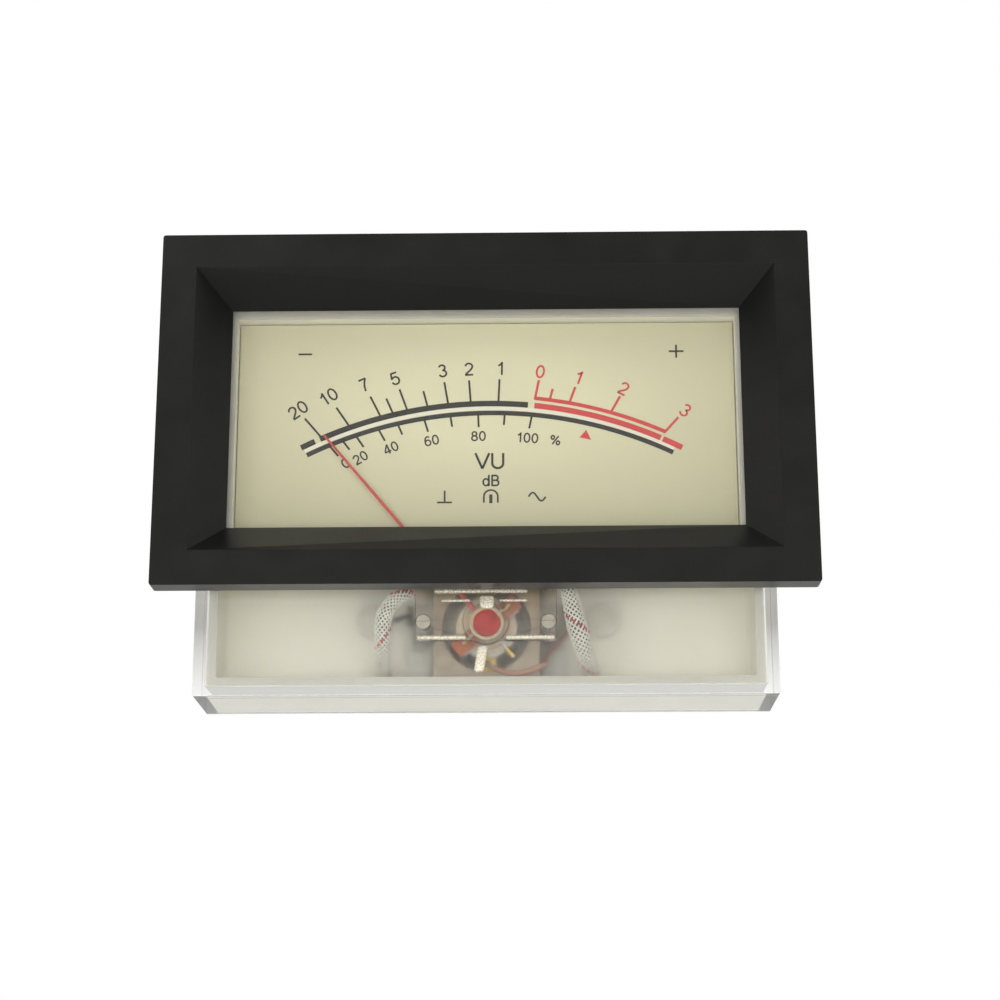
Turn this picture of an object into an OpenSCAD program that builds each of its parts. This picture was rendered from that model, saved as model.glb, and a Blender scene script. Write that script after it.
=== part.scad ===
// Analog level meter with a black window frame, a clear cover and a moving-coil movement.
// Millimetres. X to the right, Y into the panel, Z up. The origin is the middle of the frame,
// on the plane where its flange lies on the front of the panel.

/* [Window frame] */
// Width of the frame
bezel_w = 120; // [110:1:140]
// Height of the frame
bezel_h = 67.2; // [64:0.2:76]
// Thickness of the flange that lies on the panel
flange_t = 4.6; // [3.6:0.1:6]
// Flat border round the front opening
border_w = 6.4; // [5:0.1:8]
// Width of the slanted wall between the front opening and the window
bevel_w = 6.1; // [5:0.1:7]
// Depth of the collar that goes through the panel
collar_d = 2.8; // [2.4:0.1:4]
// Wall of the collar at the window
collar_wall = 4.4; // [3.5:0.1:5]
// Radius of the frame's outer corners
bezel_corner_r = 0.5; // [0.5:0.1:2]
// Thickness of the adhesive frame between collar and cover
tape_t = 0.2; // [0.1:0.05:0.4]
// Width of the adhesive frame
tape_w = 3; // [2:0.1:3.4]

/* [Case] */
// Width of the clear cover
cover_w = 105.4; // [105:0.1:108]
// Height of the cover above the middle of the frame
cover_rise = 25; // [24.6:0.1:30]
// Depth of the cover below the middle of the frame
cover_drop = 52.3; // [52:0.1:56]
// Depth of the cover from front to back
cover_d = 17.6; // [16.4:0.1:22]
// Wall of the cover
cover_wall = 2; // [1.6:0.1:2.2]
// Gap between the cover and the tray inside it
tray_gap = 0.2; // [0.1:0.05:0.3]
// Wall of the tray
tray_wall = 1.6; // [1.2:0.1:1.8]
// Thickness of the tray's floor
floor_t = 2; // [1.6:0.1:2.6]
// Distance of the tray's front rim behind the inside of the cover
rim_gap = 1; // [0.6:0.1:1.4]
// Wall at the back of the movement housing
housing_wall = 1.8; // [1.4:0.1:2.4]
// Room beside the movement plate for the signal lead
lead_room = 1.4; // [1.3:0.1:3]
// Height of the housing's inside above the pivot
housing_rise = 11.4; // [11:0.1:13]

/* [Dial] */
// Width of the rails beside the dial
rail_w = 2; // [1.6:0.1:4]
// Top of the dial plate above the middle of the frame
dial_top = 20.3; // [19:0.1:20.6]
// Bottom of the dial plate below the middle of the frame
dial_bottom = 28.8; // [28.6:0.1:30]
// Distance from the front of the cover to the dial
dial_depth = 6; // [5.8:0.1:7]
// Thickness of the dial plate
dial_t = 1; // [0.8:0.1:1.2]
// Gap between the dial's edge and the tray
dial_gap = 0.2; // [0.1:0.05:0.4]
// Width of the ledge behind the dial's edge
ledge_w = 1.2; // [0.8:0.1:2]
// Distance of each dial screw from the middle
dial_screw_x = 38; // [34:1:42]
// Distance of the dial screws above the dial's bottom edge
dial_screw_up = 3.2; // [3:0.1:5]
// Radius of the dial screws
dial_screw_r = 0.9; // [0.7:0.1:1.1]

/* [Pointer] */
// Distance of the pivot below the middle of the frame
pivot_drop = 38.4; // [38:0.1:39]
// Length of the pointer from the pivot
pointer_l = 47.5; // [42:0.1:50]
// Thickness of the pointer
pointer_t = 0.4; // [0.3:0.05:0.5]
// Width of the pointer at its tip
pointer_tip_w = 0.5; // [0.4:0.05:0.7]
// Width of the pointer at the hub
pointer_root_w = 0.9; // [0.7:0.1:1.2]
// Gap between the pointer and the dial
pointer_gap = 1.05; // [0.8:0.05:1.3]
// Angle of the pointer at rest, left of upright
rest_angle = 39.9; // [38:0.1:43]
// Travel of the pointer below its rest
under_travel = 2; // [1:0.5:3]
// Travel of the pointer above its rest
over_travel = 88; // [84:0.5:89]
// Radius of the circle on which the stop pegs stand
stop_circle_r = 15.6; // [15.2:0.1:17]
// Radius of the stop pegs
stop_r = 0.45; // [0.4:0.05:0.6]
// Radius of the hub
hub_r = 1.7; // [1.5:0.1:2]
// Length of the tail arm
tail_l = 8; // [7:0.1:9]
// Length of each side arm
side_arm_l = 5.6; // [5:0.1:7]
// Radius of the balance weights
weight_r = 0.6; // [0.5:0.05:0.6]

/* [Movement] */
// Half the width and height of the iron yoke
yoke_half = 9.7; // [9.4:0.1:9.8]
// Depth of the yoke
yoke_d = 10; // [8:0.1:14]
// Gap between the dial and the yoke
yoke_gap = 1; // [0.8:0.1:1.4]
// Radius of the bore in the yoke
yoke_bore_r = 8.2; // [8.1:0.05:8.5]
// Radius of the magnet core
core_r = 5.6; // [5:0.1:5.7]
// Inset of the core's ends from the yoke's faces
core_inset = 0.2; // [0.1:0.1:0.5]
// Gap between the core's ends and the coil
coil_end_gap = 0.6; // [0.5:0.1:0.8]
// Gap between the core's side and the coil
coil_side_gap = 0.5; // [0.4:0.05:0.6]
// Wall of the coil former
former_t = 0.4; // [0.3:0.05:0.5]
// Thickness of the copper winding
winding_t = 0.8; // [0.6:0.05:0.9]
// Width of the coil along its turning direction
coil_w = 3.4; // [3:0.1:3.8]
// Thickness of the movement plate
plate_t = 1.6; // [1.2:0.1:2.4]
// Distance of the pillars from the pivot
pillar_x = 11.4; // [11.3:0.1:11.9]
// Radius of the pillars
pillar_r = 1.4; // [1.2:0.05:1.5]
// Radius of the pillars' screwed ends
pillar_stud_r = 1; // [0.8:0.05:1.1]
// Length of the tubes between the plate and the rear bridge
spacer_l = 2.6; // [2.6:0.1:4]
// Thickness of the rear bridge
rear_bridge_t = 1.2; // [1:0.1:1.6]
// Height of the bosses behind the rear bridge
boss_h = 2.8; // [2.8:0.1:4]
// Thickness of the clear front bridge
bridge_t = 1.4; // [1.2:0.1:1.5]
// Gap between the cover and the front bridge
bridge_gap = 0.7; // [0.6:0.05:0.8]
// Half the width of the front bridge
bridge_half_w = 12.9; // [12.8:0.1:13.1]
// Height of the front bridge above the pivot
bridge_rise = 6.8; // [6:0.1:7]
// Depth of the front bridge below the pivot
bridge_drop = 3.4; // [3.2:0.1:4]
// Radius of the boss round the front jewel screw
hub_boss_r = 4.2; // [3.6:0.1:4.6]
// Radius of the red sealing lacquer
lacquer_r = 2.6; // [2.2:0.1:2.8]
// Radius of the jewel screws
jewel_screw_r = 1.5; // [1.3:0.05:1.6]
// Radius of the pivots
pivot_r = 0.4; // [0.3:0.05:0.5]
// Clearance of a pivot in its jewel
pivot_clearance = 0.05; // [0.02:0.01:0.08]

/* [Hairsprings] */
// Number of turns
spring_turns = 4; // [3:1:5]
// Radius of the inner end
spring_in_r = 1.1; // [1:0.05:1.3]
// Radius of the outer end
spring_out_r = 4.5; // [4.3:0.1:4.8]
// Thickness of the strip
strip_t = 0.16; // [0.12:0.01:0.2]
// Width of the strip
strip_w = 0.3; // [0.2:0.05:0.35]

/* [Zero lever] */
// Thickness of the lever
lever_t = 0.6; // [0.5:0.05:0.8]
// Distance of the lever's tab from the pivot
tab_r = 7.4; // [7:0.1:8]
// Width of the tab
tab_w = 1.6; // [1.2:0.1:2]
// Length of the tab behind the housing
tab_out = 2; // [1:0.1:3]
// Travel of the lever to each side
lever_travel = 8; // [5:0.5:10]

/* [Lamps] */
// Distance of each lamp from the middle
lamp_x = 12; // [11:0.5:14]
// Radius of the bulbs
bulb_r = 2; // [1.6:0.1:2.2]
// Length of the bulbs
bulb_l = 7; // [5:0.5:8]
// Radius of the lamp caps
lamp_cap_r = 2.2; // [2:0.1:2.4]
// Length of the lamp caps
lamp_cap_l = 4; // [3.5:0.5:5]
// Height of the lamp caps' lower ends above the pivot
lamp_up = 10; // [9.8:0.1:11]
// Radius of the braided sleeves
sleeve_r = 1.5; // [1.3:0.1:1.6]
// Radius of the signal leads
lead_r = 0.45; // [0.35:0.05:0.5]

/* [Terminals] */
// Gap between the terminal washers and the movement housing
terminal_gap = 0.3; // [0.2:0.1:3]
// Height of the terminals above the pivot
terminal_up = 2.8; // [2:0.1:4]
// Radius of the terminals' threads
terminal_r = 2; // [1.5:0.1:2.1]
// Radius of the posts behind the terminal nuts
post_r = 1.5; // [1.2:0.1:1.6]
// Length of the posts behind the terminal nuts
post_l = 6.4; // [5:0.1:9]
// Gap between the lamp pins and the movement housing
lamp_pin_gap = 1.25; // [1:0.05:2]
// Distance of the lamp pins below the pivot
lamp_pin_drop = 8.1; // [7.6:0.1:8.3]
// Radius of the lamp pins
lamp_pin_r = 0.75; // [0.6:0.05:0.9]
// Length of the lamp pins behind the case
lamp_pin_l = 5; // [3:0.5:8]

/* [Hidden] */
$fn = 48;
round_n = 24;              // sides of small round parts
seat = 0.02;               // gap where one fixed part is seated in another
air = 0.3;                 // least gap between parts that move past each other
cut = 1;                   // how far a cutting shape runs past the surface it cuts
boss_proud = 0.3;          // how far the round boss stands in front of the bridge
boss_wall = 1.6;           // plastic round a screw's hole
plate_rim = 2.4;           // metal beyond the pillars' axes
slot_w = 0.4;              // width of a screw's slot

// Places along Y, from the front to the back
y_front = -flange_t;
y_window = collar_d;
y_cover = y_window + tape_t;
y_inside = y_cover + cover_wall;
y_rim = y_inside + rim_gap;
y_back = y_cover + cover_d;
y_floor = y_back - floor_t;
y_dial = y_cover + dial_depth;
y_dial_back = y_dial + dial_t;
y_pointer = y_dial - pointer_gap - pointer_t;
y_hub = y_pointer + pointer_t;
y_bridge = y_inside + bridge_gap;
y_boss = y_bridge - boss_proud;
y_bridge_back = y_bridge + bridge_t;
y_yoke = y_dial_back + yoke_gap;
y_plate = y_yoke + yoke_d;
y_plate_back = y_plate + plate_t;
y_core = y_yoke + core_inset;
y_core_back = y_plate - core_inset;
y_former = y_core - coil_end_gap - former_t;
y_former_back = y_core_back + coil_end_gap + former_t;
y_coil = y_former - winding_t;
y_coil_back = y_former_back + winding_t;
y_rear_bridge = y_plate_back + spacer_l;
y_rear_bridge_back = y_rear_bridge + rear_bridge_t;
y_pocket = y_rear_bridge_back + boss_h;
y_rear = y_pocket + housing_wall;

// Terminals and lamp pins
stud_head_r = 3.2;
stud_head_t = 1.6;
washer_r = 4.2;
washer_t = 0.6;
lug_t = 0.5;
lug_rim = 1.6;                          // width of the ring round the thread
lug_half_w = 1.2;
lug_l = 9;
lug_hole_r = 0.6;
lug_hole_at = lug_l - 1.6;
nut_af = 7;                             // across the flats
nut_t = 2.8;
pin_root_r = lamp_pin_r + 0.3;          // part pressed into the floor
pin_head_r = lamp_pin_r + 0.7;          // part inside the sleeve
y_washer_back = y_back + washer_t;
y_lug_back = y_washer_back + lug_t;
y_nut_back = y_lug_back + nut_t;
y_sleeve_end = y_floor - 2;

// Places across and up
pivot_z = -pivot_drop;
window_w = bezel_w - 2 * (border_w + bevel_w);
window_h = bezel_h - 2 * (border_w + bevel_w);
opening_w = bezel_w - 2 * border_w;
opening_h = bezel_h - 2 * border_w;
collar_w = window_w + 2 * collar_wall;
collar_h = window_h + 2 * collar_wall;
cover_in_half = cover_w / 2 - cover_wall;
tray_half = cover_in_half - tray_gap;
tray_top = cover_rise - cover_wall - tray_gap;
tray_bottom = -(cover_drop - cover_wall - tray_gap);
room_half = tray_half - tray_wall;
room_top = tray_top - tray_wall;
room_bottom = tray_bottom + tray_wall;
rail_half = room_half - rail_w;
dial_half_w = rail_half - dial_gap;
rail_top = dial_top + dial_gap;
dial_low = -dial_bottom;
screw_z = dial_low + dial_screw_up;
plate_half_w = pillar_x + plate_rim;
housing_half_w = plate_half_w + lead_room;
housing_side = housing_half_w + tray_wall;
housing_top = pivot_z + housing_rise;
housing_low = room_bottom + seat;
terminal_x = housing_side + terminal_gap + washer_r;
terminal_z = pivot_z + terminal_up;
lamp_z = pivot_z + lamp_up;
lamp_y = (y_dial_back + y_floor) / 2;
lamp_pin_x = housing_side + lamp_pin_gap + pin_root_r;
lamp_pin_z = pivot_z - lamp_pin_drop;

// Coil and core
former_in = core_r + coil_side_gap;
former_out = former_in + former_t;
coil_out = former_out + winding_t;
clamp_w = 3.6;                          // width of the blocks that hold the core
clamp_inset = 1;                        // their distance from the core's ends
plate_bore_r = yoke_bore_r + 0.2;
yoke_screw_at = yoke_half - 1.5;
yoke_screw_r = 0.7;
yoke_screw_l = 4;
screw_head_r = 1.3;
screw_head_t = 0.7;
bridge_screw_r = 0.7;
bridge_screw_l = 3;
dial_head_r = dial_screw_r + 0.7;
dial_screw_l = 4;                       // length behind the dial
spacer_wall = 1.1;
holder_wall = 1.4;                      // rubber beside a lamp cap
holder_front = 0.6;                     // rubber in front of it
bar_half = 2.5;                         // half the height of the rear bridge

// Pivots, jewels and springs
lacquer_t = 0.2;
hub_t = 0.75;
arm_t = 0.35;                           // balance arms
arm_w = 0.44;
staff_r = 0.5;
jewel_t = 0.6;
jewel_r = pivot_r + 0.5;
jewel_head_r = jewel_screw_r + 1;
jewel_head_t = 0.4;                     // how deep the head sits in the bridge
jewel_slot_w = 0.6;
jewel_nut_af = 5;
jewel_nut_t = 1;
friction_rim = 1.1;                     // width of the friction washer's ring
lever_rim = 1.3;                        // width of the lever's ring
spring_gap = 0.1;                       // between the hub and the front spring
y_spring = y_hub + hub_t + spring_gap;
y_front_jewel = y_bridge_back + 0.2;    // back end of the front jewel screw
y_rear_jewel = y_plate_back + 1.4;      // front end of the rear jewel screw
y_rear_spring = y_plate_back + 0.6;
y_lever = y_rear_jewel + 0.25;
y_lever_back = y_lever + lever_t;
collet_r = spring_in_r - strip_t / 2;
anchor_w = 0.8;
stop_clear = 0.1;                       // gap left at each end of the pointer's travel

// Routes of the sleeves and leads, by hand: x, y, z
peg_x = stop_circle_r * sin(stop_angles()[1]);      // the sleeve passes outside this stop peg
sleeve_route_left = [
    [-lamp_x, 14.3, -28.5], [-lamp_x, 14.2, -29.6], [-lamp_x - 0.3, 12.6, -30.9],
    [-lamp_x - 1.3, 9.9, -31.6], [-lamp_pin_x + 4.2, 7.6, -32.6], [-lamp_pin_x + 2.2, 7, -34.4],
    [-lamp_pin_x + 0.7, 6.9, -36.6], [-lamp_pin_x + 0.3, 7.4, -39.2],
    [-lamp_pin_x + 0.3, 9, -42], [-lamp_pin_x + 0.1, 11.4, -44.4], [-lamp_pin_x, 13.8, -46],
    [-lamp_pin_x, y_sleeve_end - 1, lamp_pin_z], [-lamp_pin_x, y_sleeve_end, lamp_pin_z]
];
sleeve_route_right = [
    [lamp_x, 14.3, -28.5], [lamp_x, 14.2, -29.6], [peg_x + 1.1, 12.6, -30.7],
    [peg_x + 2.3, 9.9, -31.2], [peg_x + 2.8, 7.5, -32.2], [lamp_pin_x - 3.5, 6.9, -34.6],
    [lamp_pin_x - 3, 6.9, -37.2], [lamp_pin_x - 2.3, 7.4, -39.8],
    [lamp_pin_x - 1.4, 9, -42.6], [lamp_pin_x - 0.6, 11.4, -44.9], [lamp_pin_x, 13.8, -46.2],
    [lamp_pin_x, y_sleeve_end - 1, lamp_pin_z], [lamp_pin_x, y_sleeve_end, lamp_pin_z]
];
stud_joint_x = terminal_x - stud_head_r - 0.05;     // where the leads are soldered to the studs
lead_route_red = [
    [0.5, 10.6, -45.4], [2.2, 10.3, -46.4], [4.6, 10.1, -47.1], [6.6, 10.1, -47],
    [yoke_half - 1.1, 10.1, -46.4], [yoke_half + 0.6, 10.3, -45.6], [yoke_half + 1.2, 11.6, -44.9],
    [yoke_half + 1.2, 13.8, -43.8], [yoke_half + 2, 16.1, -41.8], [stud_joint_x - 4.05, 17.3, -39.2],
    [stud_joint_x - 1.85, 17.6, -36.9], [stud_joint_x, 17.6, terminal_z]
];
lead_in_room = housing_half_w - 0.7;
lead_route_black = [
    [-pillar_x - 1.2, 25.7, -35.4], [-lead_in_room + 1.3, 24.8, -35.2],
    [-lead_in_room + 0.3, 23.6, -34.9], [-lead_in_room, 22, -34.6], [-lead_in_room, 20, -34.5],
    [-lead_in_room - 0.1, 18, -34.6], [-lead_in_room - 0.9, 16.9, -34.9],
    [-stud_joint_x + 1.15, 17, -35.4], [-stud_joint_x, 17.6, terminal_z]
];
holder_up = 1.2;                        // lamp cap left bare below its holder
sleeve_sides = 8;
route_steps = 2;                        // rings between two points of a route

// Basic shapes, all drawn along Y
module rod(y0, y1, r, n = $fn)
    translate([0, y0, 0]) rotate([-90, 0, 0]) cylinder(h = y1 - y0, r = r, $fn = n);

module tube_along_y(y0, y1, r_out, r_in)
    difference() {
        rod(y0, y1, r_out);
        rod(y0 - cut, y1 + cut, r_in);
    }

module block(x0, x1, y0, y1, z0, z1)
    translate([x0, y0, z0]) cube([x1 - x0, y1 - y0, z1 - z0]);

module mirrored_x() {
    children();
    mirror([1, 0, 0]) children();
}

module at_pivot() translate([0, 0, pivot_z]) children();

module with_pointer() at_pivot() rotate([0, -rest_angle, 0]) children();

// Screwdriver slot across a head of that radius
module slot(r, y0, y1) block(-r - cut, r + cut, y0, y1, -slot_w / 2, slot_w / 2);

module hex_along_y(y0, y1, across)
    translate([0, y0, 0]) rotate([-90, 0, 0])
        cylinder(h = y1 - y0, r = across / 2 / cos(30), $fn = 6);

// Window frame
module rounded_slab(w, h, r, y0, y1)
    translate([0, y1, 0]) rotate([90, 0, 0]) linear_extrude(y1 - y0)
        union() {
            square([w - 2 * r, h], center = true);
            square([w, h - 2 * r], center = true);
            for (sx = [-1, 1], sz = [-1, 1])
                translate([sx * (w / 2 - r), sz * (h / 2 - r)]) circle(r, $fn = round_n);
        }

module recess() {
    slope = bevel_w / (y_window - y_front);
    hull() {
        block(-opening_w / 2 - slope * cut, opening_w / 2 + slope * cut, y_front - cut,
              y_front - cut + seat, -opening_h / 2 - slope * cut, opening_h / 2 + slope * cut);
        block(-window_w / 2, window_w / 2, y_window - seat, y_window, -window_h / 2, window_h / 2);
    }
    block(-window_w / 2, window_w / 2, y_window - 2 * seat, y_window + cut,
          -window_h / 2, window_h / 2);
}

module bezel_frame()
    color("#282826") difference() {
        union() {
            rounded_slab(bezel_w, bezel_h, bezel_corner_r, y_front, 0);
            block(-collar_w / 2, collar_w / 2, -cut, y_window, -collar_h / 2, collar_h / 2);
        }
        recess();
    }

module bezel_adhesive()
    color("#1c1c1c") difference() {
        block(-window_w / 2 - tape_w - air, window_w / 2 + tape_w + air, y_window, y_cover,
              -window_h / 2 - tape_w - air, window_h / 2 + tape_w + air);
        block(-window_w / 2 - air, window_w / 2 + air, y_window - cut, y_cover + cut,
              -window_h / 2 - air, window_h / 2 + air);
    }

// Case
module front_cover()
    color("#dfe3dc", 0.35) difference() {
        block(-cover_w / 2, cover_w / 2, y_cover, y_back, -cover_drop, cover_rise);
        block(-cover_in_half, cover_in_half, y_inside, y_back + cut,
              -cover_drop + cover_wall, cover_rise - cover_wall);
    }

module housing_shell()
    difference() {
        block(-housing_half_w - tray_wall, housing_half_w + tray_wall, y_floor, y_rear,
              tray_bottom, housing_top + tray_wall);
        block(-housing_half_w, housing_half_w, y_floor - cut, y_pocket, housing_low, housing_top);
    }

module dial_rails() {
    mirrored_x() {
        block(rail_half, room_half + seat, y_rim, y_floor + seat, dial_low, room_top + seat);
        block(rail_half - ledge_w, rail_half + seat, y_dial_back, y_floor + seat, dial_low,
              room_top + seat);
        translate([dial_screw_x, 0, screw_z]) rod(y_dial_back, y_floor + seat, dial_screw_r + boss_wall);
    }
    block(-rail_half, rail_half, y_rim, y_floor + seat, rail_top, room_top + seat);
    block(-rail_half, rail_half, y_dial_back, y_floor + seat, rail_top - ledge_w,
          rail_top + seat);
}

module base_tray()
    color("#e6e3d6") difference() {
        union() {
            difference() {
                block(-tray_half, tray_half, y_rim, y_back, tray_bottom, tray_top);
                block(-room_half, room_half, y_rim - cut, y_floor, room_bottom, room_top);
                block(-housing_half_w, housing_half_w, y_floor - cut, y_back + cut, housing_low,
                      housing_top);
            }
            dial_rails();
            housing_shell();
            mirrored_x() translate([pillar_x, 0, pivot_z])
                rod(y_rear_bridge_back, y_pocket + seat, pillar_stud_r + boss_wall);
        }
        mirrored_x() {
            translate([dial_screw_x, 0, screw_z])
                rod(y_dial - cut, y_floor, dial_screw_r + seat, round_n);
            translate([pillar_x, 0, pivot_z])
                rod(y_rear_bridge, y_pocket + housing_wall / 2, pillar_stud_r + seat, round_n);
            translate([terminal_x, 0, terminal_z])
                rod(y_floor - cut, y_back + cut, terminal_r + seat);
            translate([lamp_pin_x, 0, lamp_pin_z])
                rod(y_floor - cut, y_back + cut, pin_root_r + seat, round_n);
        }
        zero_slot();
    }

// Opening through which the zero lever's tab is reached
module zero_slot() {
    reach = tab_r * sin(lever_travel) + tab_w / 2 + air;
    block(-reach, reach, y_pocket - cut, y_rear + cut, pivot_z - tab_r - lever_t / 2 - air,
          pivot_z - tab_r * cos(lever_travel) + lever_t / 2 + air);
}

// Dial
module dial_plate()
    color("#dcd8bc") difference() {
        block(-dial_half_w, dial_half_w, y_dial, y_dial_back, dial_low, dial_top);
        mirrored_x() translate([dial_screw_x, 0, screw_z])
            rod(y_dial - cut, y_dial_back + cut, dial_screw_r + 0.1, round_n);
        for (a = stop_angles()) at_stop(a)
            rod(y_dial - cut, y_dial_back + cut, stop_r + seat, round_n);
    }

module dial_screws()
    color("silver") mirrored_x() translate([dial_screw_x, 0, screw_z]) difference() {
        union() {
            rod(y_dial - screw_head_t, y_dial, dial_head_r, round_n);
            rod(y_dial - seat, y_dial_back + dial_screw_l, dial_screw_r, round_n);
        }
        slot(dial_head_r, y_dial - screw_head_t - cut, y_dial - screw_head_t / 2);
    }

function pointer_w_at(r) = pointer_root_w + (pointer_tip_w - pointer_root_w) * r / pointer_l;
function stop_margin() = asin((pointer_w_at(stop_circle_r) / 2 + stop_r + stop_clear) / stop_circle_r);
function stop_angles() = [
    -rest_angle - under_travel - stop_margin(),
    -rest_angle + over_travel + stop_margin()
];
module at_stop(a)
    translate([stop_circle_r * sin(a), 0, pivot_z + stop_circle_r * cos(a)]) children();

module stop_pegs()
    color("#d8d8d8") for (a = stop_angles()) at_stop(a)
        rod(y_pointer - air, y_dial_back, stop_r, round_n);

// Lamps
module lamp_at(side) translate([side * lamp_x, lamp_y, lamp_z]) children();

module lamp_holders()
    color("#f0efe8") for (side = [-1, 1]) lamp_at(side) difference() {
        translate([-lamp_cap_r - holder_wall, -lamp_cap_r - holder_front, holder_up])
            cube([2 * (lamp_cap_r + holder_wall), y_floor - lamp_y + lamp_cap_r + holder_front,
                  lamp_cap_l - holder_up]);
        translate([0, 0, -cut]) cylinder(h = lamp_cap_l + 2 * cut, r = lamp_cap_r + seat);
    }

module lamp_caps()
    color("#b9b7ae") for (side = [-1, 1]) lamp_at(side) cylinder(h = lamp_cap_l, r = lamp_cap_r);

module lamp_bulb(side)
    color("#e9eef0", 0.6) lamp_at(side) translate([0, 0, lamp_cap_l]) {
        cylinder(h = bulb_l - bulb_r, r = bulb_r);
        translate([0, 0, bulb_l - bulb_r]) sphere(r = bulb_r);
    }

// A tube swept along a route: a curve through the route's points, with the section carried along
function spline(a, b, c, d, t) =
    0.5 * (2 * b + (c - a) * t + (2 * a - 5 * b + 4 * c - d) * t * t
           + (3 * b - a - 3 * c + d) * t * t * t);
function smooth(p) = concat([
    for (i = [0 : len(p) - 2]) for (k = [0 : route_steps - 1])
        spline(p[max(i - 1, 0)], p[i], p[i + 1], p[min(i + 2, len(p) - 1)], k / route_steps)
], [p[len(p) - 1]]);
function heading(p, i) =
    let (v = p[min(i + 1, len(p) - 1)] - p[max(i - 1, 0)]) v / norm(v);
function squared(u, t) = let (v = u - (u * t) * t) v / norm(v);
function sides_of(p, i, u) = i == len(p) ? []
    : let (v = squared(u, heading(p, i))) concat([v], sides_of(p, i + 1, v));

module swept(route, r, n) {
    p = smooth(route);
    u = sides_of(p, 0, [0, 0.2, 1]);
    m = len(p);
    points = [for (i = [0 : m - 1]) let (t = heading(p, i), v = cross(t, u[i]))
        for (k = [0 : n - 1]) p[i] + r * (cos(360 * k / n) * u[i] + sin(360 * k / n) * v)];
    walls = [for (i = [0 : m - 2]) for (k = [0 : n - 1])
        let (a = i * n + k, b = i * n + (k + 1) % n)
            each [[a, a + n, b], [b, a + n, b + n]]];
    ends = [for (k = [1 : n - 2]) each [
        [0, k, k + 1],
        [(m - 1) * n, (m - 1) * n + k + 1, (m - 1) * n + k]
    ]];
    polyhedron(points = points, faces = concat(walls, ends), convexity = 6);
}

module lamp_sleeve_left() color("#e4e2d8") swept(sleeve_route_left, sleeve_r, sleeve_sides);
module lamp_sleeve_right() color("#e4e2d8") swept(sleeve_route_right, sleeve_r, sleeve_sides);
module signal_lead_red() color("#b03a34") swept(lead_route_red, lead_r, sleeve_sides);
module signal_lead_black() color("#2a2a2a") swept(lead_route_black, lead_r, sleeve_sides);

// Terminals
module lamp_pins()
    color("#cbb26a") mirrored_x() translate([lamp_pin_x, 0, lamp_pin_z]) {
        rod(y_sleeve_end + seat, y_floor, pin_head_r, round_n);
        rod(y_floor - seat, y_back + seat, pin_root_r, round_n);
        rod(y_back, y_back + lamp_pin_l, lamp_pin_r, round_n);
    }

module at_terminals() mirrored_x() translate([terminal_x, 0, terminal_z]) children();

module terminal_studs()
    color("#d1b96b") at_terminals() {
        rod(y_floor - stud_head_t, y_floor, stud_head_r);
        rod(y_floor - seat, y_nut_back + air, terminal_r);
        rod(y_nut_back, y_nut_back + post_l, post_r);
    }

module terminal_washers()
    color("#cfd2d4") at_terminals() tube_along_y(y_back, y_washer_back, washer_r, terminal_r + 0.1);

module solder_lugs()
    color("#d9c98a") at_terminals() difference() {
        union() {
            rod(y_washer_back, y_lug_back, terminal_r + lug_rim);
            block(-lug_half_w, lug_half_w, y_washer_back, y_lug_back, 0, lug_l);
        }
        rod(y_washer_back - cut, y_lug_back + cut, terminal_r + 0.1);
        translate([0, 0, lug_hole_at])
            rod(y_washer_back - cut, y_lug_back + cut, lug_hole_r, round_n);
    }

module terminal_nuts()
    color("#d6bd6c") at_terminals() difference() {
        hex_along_y(y_lug_back, y_nut_back, nut_af);
        rod(y_lug_back - cut, y_nut_back + cut, terminal_r + 0.05);
    }

// Fixed parts of the movement
module at_pillars() mirrored_x() translate([pillar_x, 0, 0]) children();

module at_yoke_screws()
    for (sx = [-1, 1], sz = [-1, 1])
        translate([sx * yoke_screw_at, 0, sz * yoke_screw_at]) children();

module movement_plate()
    color("#c9c9c4") at_pivot() difference() {
        block(-plate_half_w, plate_half_w, y_plate, y_plate_back, -yoke_half, yoke_half);
        rod(y_plate - cut, y_plate_back + cut, plate_bore_r);
        at_pillars() rod(y_plate - cut, y_plate_back + cut, pillar_stud_r + seat, round_n);
        at_yoke_screws() rod(y_plate - cut, y_plate_back + cut, yoke_screw_r + 0.1, round_n);
    }

module yoke()
    color("#7a6f62") at_pivot() difference() {
        block(-yoke_half, yoke_half, y_yoke, y_plate, -yoke_half, yoke_half);
        rod(y_yoke - cut, y_plate + cut, yoke_bore_r);
        at_yoke_screws() rod(y_plate - yoke_screw_l - air, y_plate + cut, yoke_screw_r + seat, round_n);
    }

module yoke_screws()
    color("silver") at_pivot() at_yoke_screws() difference() {
        union() {
            rod(y_plate - yoke_screw_l, y_plate_back + seat, yoke_screw_r, round_n);
            rod(y_plate_back, y_plate_back + screw_head_t, screw_head_r, round_n);
        }
        slot(screw_head_r, y_plate_back + screw_head_t / 2, y_plate_back + screw_head_t + cut);
    }

module core_magnet() color("#8d8f92") at_pivot() rod(y_core, y_core_back, core_r);

// The lower clamp carries the post that holds the front spring's outer end
module core_clamps()
    color("#c9a95a") at_pivot() {
        for (side = [-1, 1]) intersection() {
            tube_along_y(y_core + clamp_inset, y_core_back - clamp_inset, yoke_bore_r - seat,
                         core_r + seat);
            block(-clamp_w / 2, clamp_w / 2, y_core, y_core_back,
                  side > 0 ? 0 : -yoke_bore_r, side > 0 ? yoke_bore_r : 0);
        }
        post_in = core_r + 0.2;
        block(-anchor_w / 2, anchor_w / 2, y_spring, y_core + clamp_inset + seat,
              -post_in - anchor_w, -post_in);
        block(-anchor_w / 2, anchor_w / 2, y_spring, y_spring + strip_w,
              -post_in - seat, -spring_out_r - strip_t / 2 - seat);
    }

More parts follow.
